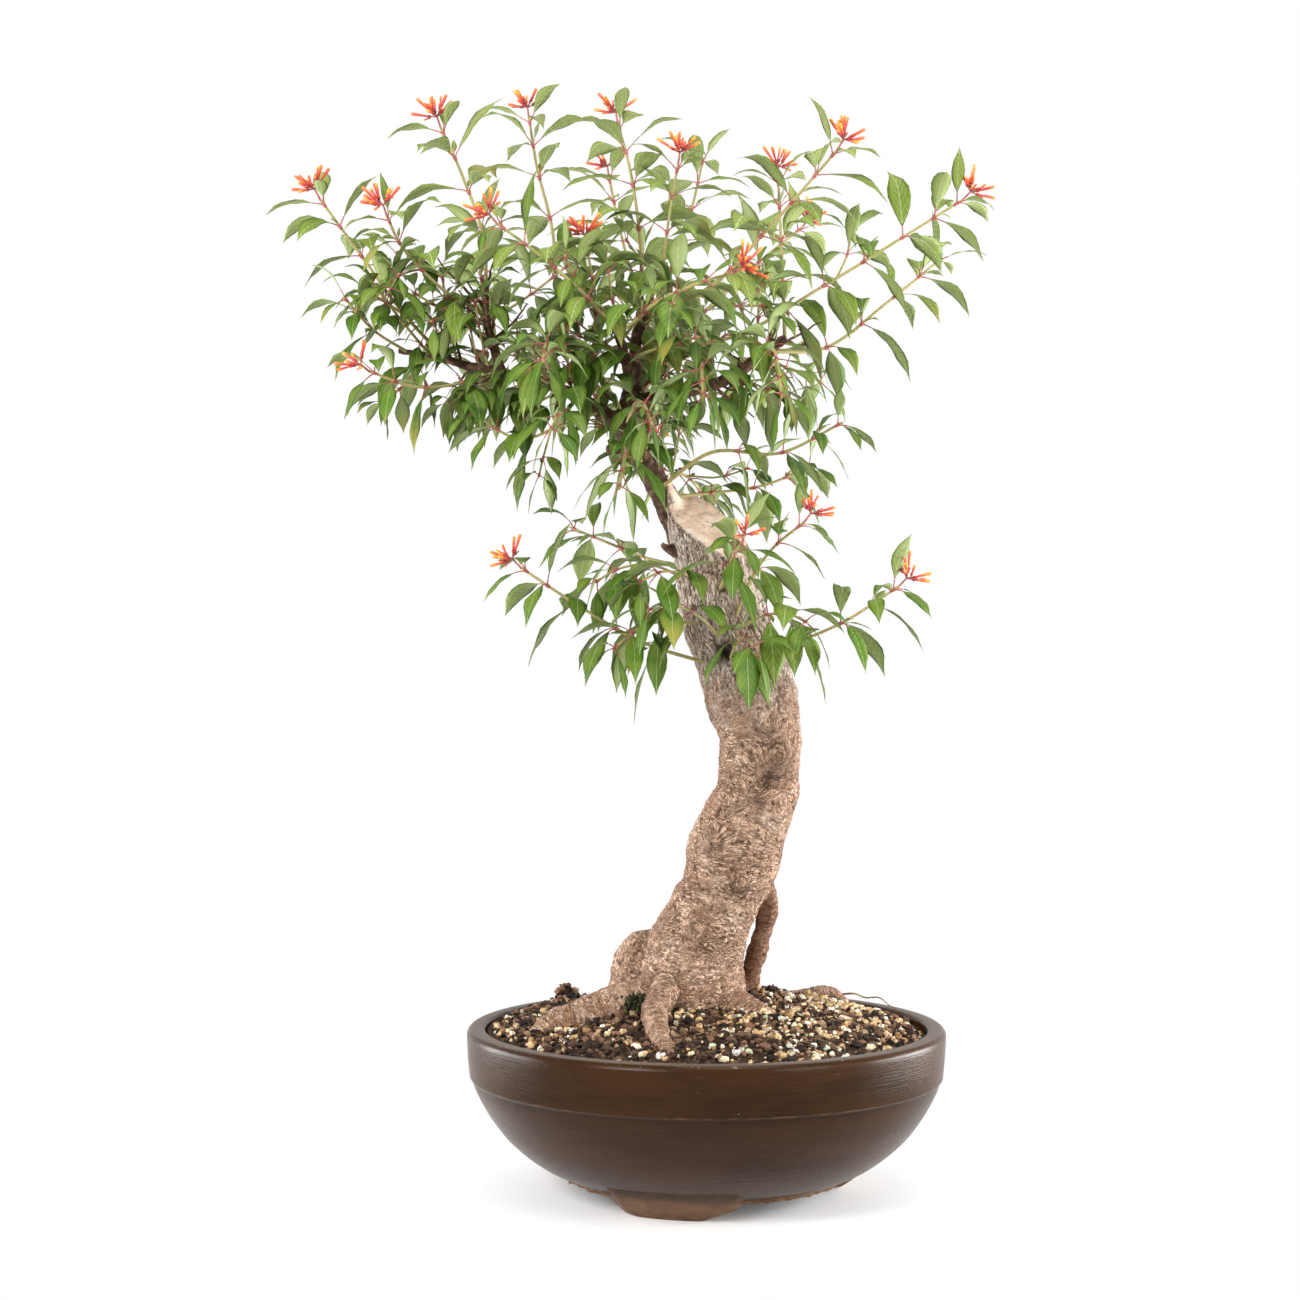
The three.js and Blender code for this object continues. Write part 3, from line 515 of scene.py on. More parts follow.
# Soil
# A heaped bed of bark humus fills the pot round the roots. It is strewn with dark bark chips and with
# rounded granules of fired clay and pumice. Rootlets, a little moss and some green bits lie on it.
SOIL_EDGE_RADIUS = 185.4
SOIL_EDGE_HEIGHT = 134
SOIL_HEAP = 27
SOIL_HEAP_REACH = 190
SOIL_RINGS = 75


def soil_surface(x, y):
    """Height of the soil in millimetres: a flat heap with crumbly lumps that calm down at the pot's wall."""
    reach = min(math.hypot(x + 8, y - 6) / SOIL_HEAP_REACH, 1)
    spot = Vector((x, y, 0))
    lumps = 1.9 * noise.noise(spot / 16) + 1.3 * noise.noise(spot / 6) + 0.9 * noise.noise(spot / 2.6)
    fade = min(max((SOIL_EDGE_RADIUS - math.hypot(x, y)) / 8, 0), 1)
    return SOIL_EDGE_HEIGHT + SOIL_HEAP * (1 - reach ** 2) - 0.8 + lumps * fade


soil = bmesh.new()
soil_outline = [(0, FLOOR_TOP + 0.3), (111.4, FLOOR_TOP + 0.3), (169, 68.6), (183.6, 100)]
soil_outline += [(SOIL_EDGE_RADIUS * (1 - i / SOIL_RINGS), POT_HEIGHT) for i in range(SOIL_RINGS)]
spun(soil, soil_outline + [(0, POT_HEIGHT)], 220, closed=False)
for vert in soil.verts:
    if vert.co.z / MM > POT_HEIGHT - 0.5:
        vert.co.z = soil_surface(vert.co.x / MM, vert.co.y / MM) * MM
bmesh.ops.translate(soil, verts=soil.verts, vec=POT_AXIS)

humus = Finish("bark_humus", Specular_IOR_Level=0.2)
crumbs = humus.noise(1.9, 6)
brown = humus.ramp(crumbs, [(0.3, "#1a120b"), (0.5, "#37261a"), (0.64, "#5c412d"), (0.78, "#8a684a")])
humus.feed("Base Color", humus.mix(humus.noise(22, 2).step(0.5, 0.7) * 0.4, brown, "#1a120c"))
humus.feed("Roughness", 0.8 + 0.2 * crumbs)
humus.relief(crumbs + 0.6 * humus.cells(2.0), 2.0)
new_piece("soil_bed", soil, [humus], ["soil"])

GRAIN_BATCH = 400
GRAIN_FORMS = 7
GRAIN_REACH = 182
HEAPED_SHARE = 0.16
PATCH_WIDTH = 34
PATCH_DRIFT = 0.0012
TRUNK_FOOT = (-12, 3)
TRUNK_FOOT_RADIUS = 40


def stamped(bm, mesh):
    """Adds a copy of a mesh, and returns its corners."""
    known = len(bm.verts)
    bm.from_mesh(mesh)
    bm.verts.ensure_lookup_table()
    return bm.verts[known:]


def grain_forms(make, jag, seed):
    """A few differently knocked grains, one unit across, to choose from."""
    forms = []
    for i in range(GRAIN_FORMS):
        bm = bmesh.new()
        make(bm)
        for vert in bm.verts:
            vert.co *= 1 + jag * noise.noise(vert.co * 2.6 + Vector((seed, 7.3 * i, 1.7 * i)))
        forms.append(finished_mesh("grain", bm))
    return forms


def grain_place(draw, seed, patchiness, heaps):
    """A place on one of the heaps or anywhere else on the soil, or nothing in a patch that stays bare."""
    if heaps and draw.random() < HEAPED_SHARE:
        x, y, spread, lift = draw.choice(heaps)
        across, back = draw.gauss(0, spread), draw.gauss(0, spread)
        mound = math.exp(-(across ** 2 + back ** 2) / (2 * spread ** 2))
        x, y = x + across, y + back
        return x, y, soil_surface(x, y) + lift * mound * draw.random()
    reach, turn = GRAIN_REACH * math.sqrt(draw.random()), draw.uniform(0, 2 * math.pi)
    x, y = reach * math.cos(turn), reach * math.sin(turn)
    cover = noise.noise(Vector((x, y, seed)) / PATCH_WIDTH) + PATCH_DRIFT * x
    bare = cover < patchiness - draw.random() * 0.5
    return None if bare else (x, y, soil_surface(x, y))


def scatter(name, finish, forms, count, seed, sizes, flatness, sink, patchiness, heaps=(), smooth=False):
    """Strews grains over the soil, each with its own form, size, turn and tone."""
    draw = random.Random(seed)
    whole = bmesh.new()
    whole.verts.layers.float.new("tone")
    made = 0
    while made < count:
        batch = bmesh.new()
        tone_layer = batch.verts.layers.float.new("tone")
        for _ in range(min(GRAIN_BATCH, count - made)):
            made += 1
            size = sizes[0] + (sizes[1] - sizes[0]) * draw.random() ** 2
            place = grain_place(draw, seed, patchiness, heaps)
            if not place or math.dist(place[:2], TRUNK_FOOT) < TRUNK_FOOT_RADIUS:
                continue
            if math.hypot(*place[:2]) > GRAIN_REACH + 1 - size / 2:
                continue
            verts = stamped(batch, draw.choice(forms))
            stretch = Vector((1, draw.uniform(flatness[0], 1), draw.uniform(*flatness))) * (size / 2)
            turn = Matrix.Rotation(draw.uniform(0, 6.3), 3, "Z") @ Matrix.Rotation(draw.gauss(0, 0.5), 3, "X")
            turn = turn @ Matrix.Diagonal(stretch)
            middle = Vector((place[0], place[1], place[2] + size * (0.5 - sink)))
            value = draw.random()
            for vert in verts:
                vert[tone_layer] = value
                vert.co = in_frame(middle + turn @ vert.co)
        take_in(whole, finished_mesh("grains", batch))
    for form in forms:
        bpy.data.meshes.remove(form)
    new_piece(name, whole, [finish], smooth=smooth)


def round_grain(bm):
    bmesh.ops.create_uvsphere(bm, u_segments=8, v_segments=5, radius=1)


def split_chip(bm):
    bmesh.ops.create_icosphere(bm, subdivisions=1, radius=1)


granules = Finish("pale_clay_granules", Specular_IOR_Level=0.25)
tone = granules.attribute("tone")
speck = granules.noise(1.8, 4)
stain = granules.noise(4.5, 3)
pale = granules.ramp(tone, [(0.0, "#8f6a48"), (0.2, "#b99468"), (0.45, "#d6b98a"), (0.64, "#e3cfa6"),
                            (0.82, "#ece0c6"), (0.94, "#e2e3dc"), (1.0, "#9dad5c")])
pale = granules.mix(stain.step(0.5, 0.62) * 0.8, pale, "#5d4330")
granules.feed("Base Color", granules.mix(speck.step(0.5, 0.7) * 0.5, pale, "#5b4029"))
granules.feed("Roughness", 0.75 + 0.2 * speck)
granules.relief(speck, 0.7)

bark_chips = Finish("dark_bark_chips", Specular_IOR_Level=0.25)
tone = bark_chips.attribute("tone")
fibre = bark_chips.noise(1.4, 4)
dark = bark_chips.ramp(tone, [(0.0, "#18110c"), (0.35, "#302219"), (0.6, "#4c3729"), (0.8, "#70543f"),
                              (0.92, "#7d5845"), (1.0, "#b09575")])
bark_chips.feed("Base Color", bark_chips.mix(fibre.step(0.4, 0.75) * 0.5, dark, "#1a120c"))
bark_chips.feed("Roughness", 0.7 + 0.25 * fibre)
bark_chips.relief(fibre, 0.6)

# Where grains lie heaped up: the place, how far they spread, and how high.
GRAIN_HEAPS = ((40, 24, 12, 12), (96, 62, 20, 7), (30, -34, 20, 5), (120, 30, 26, 6), (60, -70, 30, 4))
CHIP_HEAPS = ((-122, 76, 8, 18), (-122, 76, 5, 14), (-60, -50, 14, 6), (36, 16, 14, 9), (60, 60, 24, 7))
scatter("soil_granules", granules, grain_forms(round_grain, 0.75, 3), count=2300, seed=11, sizes=(2.6, 7.8),
        flatness=(0.6, 0.95), sink=0.3, patchiness=0.2, heaps=GRAIN_HEAPS, smooth=True)
scatter("soil_bark_chips", bark_chips, grain_forms(split_chip, 1.1, 9), count=5600, seed=23, sizes=(2.2, 9.5),
        flatness=(0.4, 0.85), sink=0.35, patchiness=-0.6, heaps=CHIP_HEAPS)
scatter("soil_crumbs", bark_chips, grain_forms(split_chip, 0.6, 5), count=3600, seed=37, sizes=(1.0, 3.0),
        flatness=(0.6, 0.95), sink=0.36, patchiness=-0.9)

# A curve keeps a strand's material number only where it has as many slots.
STRAND_MATERIALS = 3
ROOTLET_STRIDE = 3.4
ROOTLET_REACH = 178


def tubes(name, strands, resolution):
    """Round strands through points with radii in metres, each closed at both ends, as one mesh."""
    curve = bpy.data.curves.new(name, "CURVE")
    curve.dimensions = "3D"
    curve.bevel_depth = 1.0
    curve.bevel_resolution = resolution
    curve.use_fill_caps = True
    for _ in range(STRAND_MATERIALS):
        curve.materials.append(None)
    for points, radii, material in strands:
        spline = curve.splines.new("POLY")
        spline.points.add(len(points) - 1)
        spline.material_index = material
        for spot, point, radius in zip(spline.points, points, radii):
            spot.co = (*point, 1)
            spot.radius = radius
    holder = bpy.data.objects.new(name, curve)
    mesh = bpy.data.meshes.new_from_object(holder)
    bpy.data.objects.remove(holder)
    bpy.data.curves.remove(curve)
    return mesh


def rootlet(draw, x, y, steps, thick):
    """A fine root that wanders over the soil from a place, now and then lifting off it."""
    turn = draw.uniform(0, 6.3)
    points, radii = [], []
    for i in range(steps):
        lift = 0.6 + 3.2 * math.sin(i / (steps - 1) * math.pi) * draw.uniform(0.2, 0.9)
        points.append(in_frame((x, y, soil_surface(x, y) + lift)))
        radii.append(thick * (1 - 0.6 * i / steps) * MM)
        turn += draw.gauss(0, 0.42)
        x, y = x + ROOTLET_STRIDE * math.cos(turn), y + ROOTLET_STRIDE * math.sin(turn)
        if math.hypot(x, y) > ROOTLET_REACH:
            break
    return points, radii, 0


def strand_through(points, radii):
    """A strand with the given radii, along a smooth line through points in millimetres."""
    line = Line(points)
    last = len(radii) - 1
    return [in_frame(line.point(i / last)) for i in range(last + 1)], [radius * MM for radius in radii], 0


rootlet_draw = random.Random(61)
rootlets = []
for _ in range(150):
    reach, turn = rootlet_draw.uniform(44, 172), rootlet_draw.uniform(0, 6.3)
    strand = rootlet(rootlet_draw, reach * math.cos(turn), reach * math.sin(turn), 9, 0.42)
    if len(strand[0]) > 3:
        rootlets.append(strand)
for x, y in ((-50, -52), (-30, -50), (-64, -44), (-20, -48), (-44, -60), (-80, -58)) * 4:
    x, y = x + rootlet_draw.gauss(0, 7), y + rootlet_draw.gauss(0, 6)
    rootlets.append(rootlet(rootlet_draw, x, y, 7, 0.32))
# One bare root arches out at the right, and two thin ones lie over the big root on the left.
rootlets += [
    strand_through([(122, 86, 153), (134, 83, 154), (143, 86, 150), (155, 80, 151), (164, 82, 144),
                    (171, 78, 140)], [1.0 - 0.045 * i for i in range(15)]),
    strand_through([(-114, -62, 168), (-113, -68, 160), (-115, -72, 152), (-113, -76, 145)], [0.9] * 10),
    strand_through([(-122, -76, 142), (-117, -79, 150), (-108, -80, 153), (-100, -80, 149), (-95, -79, 142)],
                   [0.8] * 10),
]
fibres = bmesh.new()
take_in(fibres, tubes("rootlets", rootlets, 1))
root_skin = Finish("fine_root_skin", Specular_IOR_Level=0.25)
root_grain = root_skin.noise(9, 4)
root_skin.feed("Base Color", root_skin.ramp(root_grain, [(0.3, "#3a2819"), (0.52, "#7b5b3e"),
                                                         (0.7, "#a88a66")]))
root_skin.feed("Roughness", 0.7 + 0.2 * root_grain)
new_piece("soil_rootlets", fibres, [root_skin])

# Moss tufts between the front roots, and small green bits on the soil: centre, spread and number.
MOSS_BEDS = [((-59, -58, 157), (7, 4, 10), 760), ((-58, -48, 167), (9, 5, 4), 320),
             ((-24, -52, 155), (7, 3, 4), 200), ((30, -34, 152), (6, 3, 2), 60),
             ((-150, 20, 142), (8, 6, 1), 26), ((34, -28, 152), (3, 4, 3), 60)]
moss_draw = random.Random(71)
moss_tufts = bmesh.new()
tone_layer = moss_tufts.verts.layers.float.new("tone")
tuft_forms = grain_forms(split_chip, 1.2, 15)
for centre, spread, number in MOSS_BEDS:
    for _ in range(number):
        place = Vector(centre) + Vector([moss_draw.gauss(0, width * 0.6) for width in spread])
        place.z = max(place.z, soil_surface(place.x, place.y) + 0.6)
        size = moss_draw.uniform(0.6, 1.9)
        turn = Matrix.Rotation(moss_draw.uniform(0, 6.3), 3, "Z")
        lean = turn @ Matrix.Rotation(moss_draw.gauss(0, 0.7), 3, "X")
        tuft = lean @ Matrix.Diagonal((size * 0.6, size * 0.6, size * 1.5))
        value = moss_draw.random()
        for vert in stamped(moss_tufts, moss_draw.choice(tuft_forms)):
            vert[tone_layer] = value
            vert.co = in_frame(place + tuft @ vert.co)
for form in tuft_forms:
    bpy.data.meshes.remove(form)
moss_green = Finish("dark_moss", Specular_IOR_Level=0.2)
moss_grain = moss_green.noise(1.2, 4)
moss_tone = moss_green.ramp(moss_green.attribute("tone"), [(0.0, "#14120c"), (0.5, "#24241a"),
                                                           (0.85, "#3c4026"), (1.0, "#686c38")])
moss_green.feed("Base Color", moss_green.mix(moss_grain.step(0.45, 0.7) * 0.6, moss_tone, "#1c160d"))
moss_green.feed("Roughness", 0.8 + 0.2 * moss_grain)
new_piece("soil_moss", moss_tufts, [moss_green], smooth=False)


# Trunk, roots and old branches
# The wood grew as one piece: a leaning trunk on spread surface roots, cut off long ago at a slant, with a
# dark leader and branches above the cut. Its bark is wrinkled below, and split by fissures higher up.
TRUNK = [
    ((-12, 4, 122), 46), ((-12, 3, 160), 48), ((-11, 2, 195), 42.5), ((0, 0, 226), 38),
    ((14, 0, 254), 35), ((22, 0, 280), 40.5), ((31.5, 0, 308), 38.5), ((42.5, 0, 334), 34.5),
    ((46, 0, 364), 34), ((46, 0, 386), 35.5), ((39, 0, 416), 39), ((31, 0, 444), 38),
    ((23, 0, 466), 36.5), ((14, 0, 489), 37), ((6, 2, 532), 32.5), ((-2.5, 4, 560), 29.5),
    ((-5, 6, 612), 28),
]
ROOTS = [
    ([(8, 12, 214), (-30, 16, 202), (-50, 19, 194), (-58, 21, 178), (-60, 22, 134)], [14, 18, 26, 24, 28]),
    ([(44, 8, 278), (53, 13, 242), (48, 17, 214), (41, 20, 186), (38, 22, 138)], [9, 9.5, 8.5, 8.5, 9]),
    ([(-30, -8, 166), (-62, -26, 162), (-90, -42, 157), (-122, -52, 148), (-150, -62, 135)],
     [23, 20, 17.5, 14, 7.5]),
    ([(-30, -22, 180), (-43, -64, 162), (-42, -104, 153), (-32, -148, 137)], [14, 11.5, 10.5, 8]),
    ([(10, 22, 150), (52, 58, 150), (88, 79, 153), (112, 84, 155), (130, 86, 140)], [16, 9, 6, 6, 5]),
    ([(-8, 26, 166), (12, 70, 158), (30, 108, 150), (44, 146, 132)], [20, 12, 10, 7]),
    ([(12, -14, 158), (46, -42, 150), (72, -60, 138)], [20, 12, 8]),
]
OLD_BRANCHES = [
    ([(-6, 14, 518), (-33, 14, 584), (-49, 6, 612), (-63, 0, 631), (-68, 0, 650), (-65, 0, 672),
      (-61, 0, 705), (-58, 0, 728), (-41, 0, 753)], [14, 12, 10, 9, 8.5, 7.5, 6, 5, 4]),
    ([(-64, 0, 658), (-79, 0, 655), (-91, 0, 662), (-124, -4, 680), (-158, -10, 689), (-201, -10, 698),
      (-235, -4, 708), (-262, 0, 712)], [7, 6.5, 6.5, 5.5, 4.5, 4, 3.2, 2.5]),
    ([(-172, -10, 690), (-186, -6, 738), (-187, 0, 769)], [4, 3.6, 3]),
    ([(-66, 0, 664), (-39, 2, 674), (12, 4, 686), (38, 8, 702), (69, 16, 725)], [7, 6.5, 5.5, 5, 4]),
    ([(-64, 0, 629), (-85, -3, 628)], [5, 4]),
    ([(-63, 0, 684), (-68, -35, 703), (-75, -75, 722)], [6, 5, 3.5]),
    ([(-64, 0, 676), (-55, 45, 697), (-40, 90, 722)], [6, 5, 3.5]),
    ([(-20, -6, 540), (-32, -8, 543), (-38, -9, 548)], [6.5, 4.5, 2.2]),
]
# The red root's number among the limbs, where the trunk is 0.
RED_ROOT = 2
CHOP_HEIGHT = 565
CHOP_FALL_FRONT = 0.7
CHOP_FALL_RIGHT = 0.45
WOOD_GRID = 1.7

# Knots and the hollow on the trunk: centre, radius and height in millimetres.
KNOTS = [((58, -32, 364), 14, 5.0), ((27, -35, 261), 5.5, 2.4), ((50, -32, 394), 7, 1.6),
         ((20, -37, 330), 7, 1.2), ((42, -36, 338), 8, 1.8), ((-28, -36, 262), 10, 1.4),
         ((76, -8, 332), 7, 1.6), ((60, -26, 322), 7, 1.4), ((4, -40, 300), 10, 1.2),
         ((-40, -24, 235), 10, 1.8)]
HOLLOW = ((14, -34, 455), 14, -10.0)

# The bark turns from wrinkled to pale and fissured over this stretch of height.
HIGH_BARK_START = 375
HIGH_BARK_FADE = 90


def limb_strand(points, radii, spacing):
    """Points and radii along a limb, in the frame, from its few measured places."""
    line = Line(points)
    count = max(3, round(line.length / spacing))
    shares = [i / count for i in range(count + 1)]
    thick = [float(np.interp(share * (len(radii) - 1), range(len(radii)), radii)) * MM for share in shares]
    return [in_frame(line.point(share)) for share in shares], thick, 0


trunk_limb = ([point for point, _ in TRUNK], [radius for _, radius in TRUNK])
wood = bmesh.new()
take_in(wood, tubes("trunk_core", [limb_strand(*trunk_limb, 6)], 10))
chop_place = in_frame((0, 0, CHOP_HEIGHT))
chop_normal = Vector((CHOP_FALL_RIGHT, -CHOP_FALL_FRONT, 1)).normalized()
cut = bmesh.ops.bisect_plane(wood, geom=wood.verts[:] + wood.edges[:] + wood.faces[:], plane_co=chop_place,
                             plane_no=chop_normal, clear_outer=True)
bmesh.ops.contextual_create(wood, geom=[e for e in cut["geom_cut"] if isinstance(e, bmesh.types.BMEdge)])
take_in(wood, tubes("limbs", [limb_strand(*limb, 4) for limb in ROOTS + OLD_BRANCHES], 6))

# A remesh joins the limbs into one skin and the smoothing rounds the crotches between them.
rough = bpy.data.objects.new("rough_wood", finished_mesh("rough_wood", wood))
bpy.context.scene.collection.objects.link(rough)
union = rough.modifiers.new("union", "REMESH")
union.mode = "VOXEL"
union.voxel_size = WOOD_GRID * MM
soften = rough.modifiers.new("soften", "SMOOTH")
soften.factor = 0.5
soften.iterations = 5
bpy.context.view_layer.update()
grown_mesh = bpy.data.meshes.new_from_object(rough.evaluated_get(bpy.context.evaluated_depsgraph_get()))
bpy.data.objects.remove(rough)

# Each corner of the skin looks up the nearest limb, and gets a place in that limb's own grain from it:
# two directions across the limb and the distance along it.
POINT, AHEAD, SIDE, ACROSS = slice(0, 3), slice(3, 6), slice(6, 9), slice(9, 12)
RADIUS, ALONG, LIMB = 12, 13, 14
LIMB_GRAIN_SHIFT = 700
CORNER_BATCH = 4000
samples = []
for limb_index, (points, radii) in enumerate([trunk_limb] + ROOTS + OLD_BRANCHES):
    line = Line(points)
    count = max(8, round(line.length / 5))
    side = None
    for i in range(count + 1):
        share = i / count
        ahead = line.tangent(share)
        side = side or ahead.cross(Vector((0.1, 1, 0.2))).normalized()
        side = (side - ahead * side.dot(ahead)).normalized()
        radius = float(np.interp(share * (len(radii) - 1), range(len(radii)), radii))
        along = float(line.lengths[round(share * line.STEPS)])
        samples.append((*line.point(share), *ahead, *side, *ahead.cross(side), radius, along, limb_index))
samples = np.array(samples)

count = len(grown_mesh.vertices)
spots = np.empty(count * 3)
grown_mesh.vertices.foreach_get("co", spots)
spots = (spots.reshape(-1, 3) - np.array(POT_AXIS)) / MM
nearest = np.empty(count, int)
for start in range(0, count, CORNER_BATCH):
    batch = slice(start, start + CORNER_BATCH)
    gaps = np.linalg.norm(spots[batch, None, :] - samples[None, :, POINT], axis=2) - samples[:, RADIUS]
    nearest[batch] = gaps.argmin(axis=1)
chosen = samples[nearest]
offset = spots - chosen[:, POINT]
along, aside, across = (np.einsum("ij,ij->i", offset, chosen[:, axis]) for axis in (AHEAD, SIDE, ACROSS))
grain = np.stack([aside, across, chosen[:, ALONG] + along + LIMB_GRAIN_SHIFT * chosen[:, LIMB]], axis=1)
# The bark's wrinkles run in rings round a knot.
for centre, radius, _ in KNOTS:
    gap = np.linalg.norm(spots - np.array(centre), axis=1) / (radius * 1.25)
    grain[:, 2] += 1.9 * radius * np.exp(-gap ** 2)
limb_of = chosen[:, LIMB].astype(int)
is_branch = (limb_of > len(ROOTS)).astype(float)
is_trunk = (limb_of == 0).astype(float)
high_bark = np.clip((spots[:, 2] - HIGH_BARK_START) / HIGH_BARK_FADE, 0, 1) * is_trunk

# The noise is read in turned axes, so that its own grid doesn't show on the upright trunk.
SKEW = Matrix.Rotation(0.8, 3, Vector((1, 2, 0.6)))


def swell(spot, centre, radius, rise):
    """Height of a rough swelling with folds round it, or of a pit where the rise is under 0, and the painted
    shade that darkens a swelling's folds and middle.
    """
    gap = (spot - Vector(centre)).length / radius
    if gap > 2.6:
        return 0.0, 0.0
    gap *= 1 + 0.35 * noise.fractal(SKEW @ spot / (radius * 0.9), 1.0, 2.0, 3)
    folds = sum(depth * math.exp(-((gap - place) / 0.09) ** 2) for place, depth in ((1.0, 0.3), (1.45, 0.2)))
    folds *= min(max(0.6 + 2 * noise.noise(SKEW @ spot / radius), 0), 1) if rise > 0 else 0
    shade_round = 0.12 * math.exp(-(gap ** 2) * 0.7) if rise > 0 else 0
    return rise * (math.exp(-(gap ** 2) * 1.3) - folds), (folds + shade_round) * min(rise, 3)


def groove(value, width):
    """1 on the thin line where a noise value crosses nothing, and 0 away from it."""
    return max(1 - abs(value) / width, 0)


def bark_height(spot, grain_spot, high, branch):
    """How far the bark stands out from the smooth wood, in millimetres: in all, its fine part, and the painted
    shade of the knots and their folds.
    """
    across = Vector((grain_spot.x, grain_spot.y, 0))
    skewed = SKEW @ spot
    lumps = 1.8 * noise.noise(skewed / 27) + 1.4 * noise.noise(skewed / 12) + 0.7 * noise.noise(skewed / 6)
    waver = Vector((0, 0, 3.2 * noise.noise(skewed / 9)))
    wrinkle = noise.noise(across / 17 + (Vector((0, 0, grain_spot.z)) + waver) / 5.2)
    pit = max(noise.noise(skewed / 3.4) - 0.3, 0) * -3.0
    crinkle = noise.noise(skewed / 3.1)
    low = 0.55 * wrinkle - 0.55 * groove(wrinkle, 0.13) + 0.6 * crinkle + pit
    crack = noise.noise(across / 4.6 + Vector((9, 9, grain_spot.z / 26)))
    fissure = 0.9 * crack - 1.5 * groove(crack, 0.13)
    fine = (1 - branch) * ((1 - high) * low + high * fissure)
    fine += branch * (0.7 * noise.noise(spot / 4.5) + 0.5 * noise.noise(spot / 2.2))
    swells = [swell(spot, *knot) for knot in KNOTS]
    knots, folds = sum(rise for rise, _ in swells), sum(fold for _, fold in swells)
    return lumps + fine + knots + swell(spot, *HOLLOW)[0], fine, folds


normals = np.empty(count * 3)
grown_mesh.vertices.foreach_get("normal", normals)
normals = normals.reshape(-1, 3)
heading = np.array(chop_normal)
over_chop = (spots - np.array([0, 0, CHOP_HEIGHT])) @ heading
scar = np.clip((over_chop + 1.2) / 0.8, 0, 1) * (normals @ heading > 0.75) * is_trunk
lip = np.exp(-((over_chop + 2.2) / 1.8) ** 2) * (normals @ heading < 0.75) * is_trunk
thin = np.clip(chosen[:, RADIUS] / 9, 0.25, 1)
heights = np.array([bark_height(Vector(spot), Vector(place), high, branch) for spot, place, high, branch
                    in zip(spots, grain, high_bark, is_branch)])
rises, fine_rises, folds = heights.T
saw_marks = [0.9 * noise.noise(Vector(spot) / 9) if flat else 0.0 for spot, flat in zip(spots, scar)]
rises = rises * thin * (1 - scar) + lip * 1.3 + np.array(saw_marks)
moved = spots + normals * rises[:, None]
grown_mesh.vertices.foreach_set("co", ((moved * MM) + np.array(POT_AXIS)).ravel())

hollow = np.exp(-(np.linalg.norm(spots - np.array(HOLLOW[0]), axis=1) / HOLLOW[1]) ** 2 * 1.4)
layers = {
    "branch": is_branch,
    "high_bark": high_bark,
    "scar": scar,
    "hollow": hollow,
    # The fine relief is kept to paint shade into the bark's grooves and highlight onto its ridges.
    "relief": np.clip(0.5 + fine_rises / 3, 0, 1),
    "red_root": (limb_of == RED_ROOT).astype(float),
    # Painted shade for the knots and the folds round them.
    "folds": np.clip(folds * 1.6, 0, 1),
}
for layer_name, values in layers.items():
    layer = grown_mesh.attributes.new(layer_name, "FLOAT", "POINT")
    layer.data.foreach_set("value", values)
layer = grown_mesh.attributes.new("grain", "FLOAT_VECTOR", "POINT")
layer.data.foreach_set("vector", (grain * MM).ravel())

bark = Finish("wrinkled_tan_bark", Specular_IOR_Level=0.22)
grain_place = bark.attribute("grain", output=1)
patches = bark.noise(30, 4)
mottle = bark.noise(7, 5)
specks = bark.noise(1.5, 4)
drift = bark.node("TexNoise", sockets={"Vector": bark.object_place(), "Scale": 110.0, "Detail": 2.0},
                  output=1)
warp = bark.node("VectorMath", {"operation": "SCALE"}, {0: drift, "Scale": 0.006})
wavy_place = bark.node("VectorMath", {"operation": "ADD"}, {0: grain_place, 1: warp})


def bark_lines(size, stretch, width, detail=3):
    """1 on thin wandering lines in the bark and 0 between them, drawn out along or across the limb."""
    value = bark.noise(size, detail, stretch, wavy_place)
    return abs(value - 0.5).step(width, width * 0.15)


wrinkle_lines = bark_lines(2.9, (4.6, 4.6, 1), 0.045)
short_lines = bark_lines(1.7, (3.2, 3.2, 1), 0.05)
crack_lines = bark_lines(2.6, (1, 1, 9), 0.035)
fine_cracks = bark_lines(1.5, (1, 1, 8), 0.05)
stand = bark.attribute("relief")
high_part = bark.attribute("high_bark")
low_lines = (wrinkle_lines + 0.6 * short_lines).at_most(1.0)
pale_ridges = bark_lines(2.1, (2.6, 2.6, 1), 0.07, 4)
crackle = bark_lines(1.5, (1.3, 1.3, 1), 0.06, 4)
worked = bark.noise(17, 3).step(0.35, 0.62)
stains = bark.noise(21, 4, (1, 1, 1.6))
low_tone = bark.ramp(patches, [(0.36, "#8a6148"), (0.5, "#ae866c"), (0.64, "#d6b298")])
low_tone = bark.mix(mottle.step(0.5, 0.72) * 0.5, low_tone, "#84614a")
low_tone = bark.mix(stains.step(0.48, 0.66) * 0.65, low_tone, "#7c5639")
low_tone = bark.mix(pale_ridges * (0.3 + 0.5 * worked), low_tone, "#e0c6af")
low_tone = bark.mix(crackle * 0.45, low_tone, "#d6b89d")
low_tone = bark.mix(low_lines * (0.3 + 0.6 * worked), low_tone, "#5f3e28")
low_tone = bark.mix(specks.step(0.57, 0.65) * 0.7, low_tone, "#4c3324")
high_tone = bark.ramp(patches, [(0.3, "#b39c8a"), (0.5, "#d6c3b2"), (0.72, "#eaddd0")])
high_tone = bark.mix(mottle.step(0.45, 0.7) * 0.45, high_tone, "#977a62")
high_lines = (crack_lines + 0.7 * fine_cracks).at_most(1.0)
high_tone = bark.mix(high_lines * 0.85, high_tone, "#543a2a")
tone = bark.mix((high_part + 1.6 * (patches - 0.5)).step(0.1, 0.9), low_tone, high_tone)
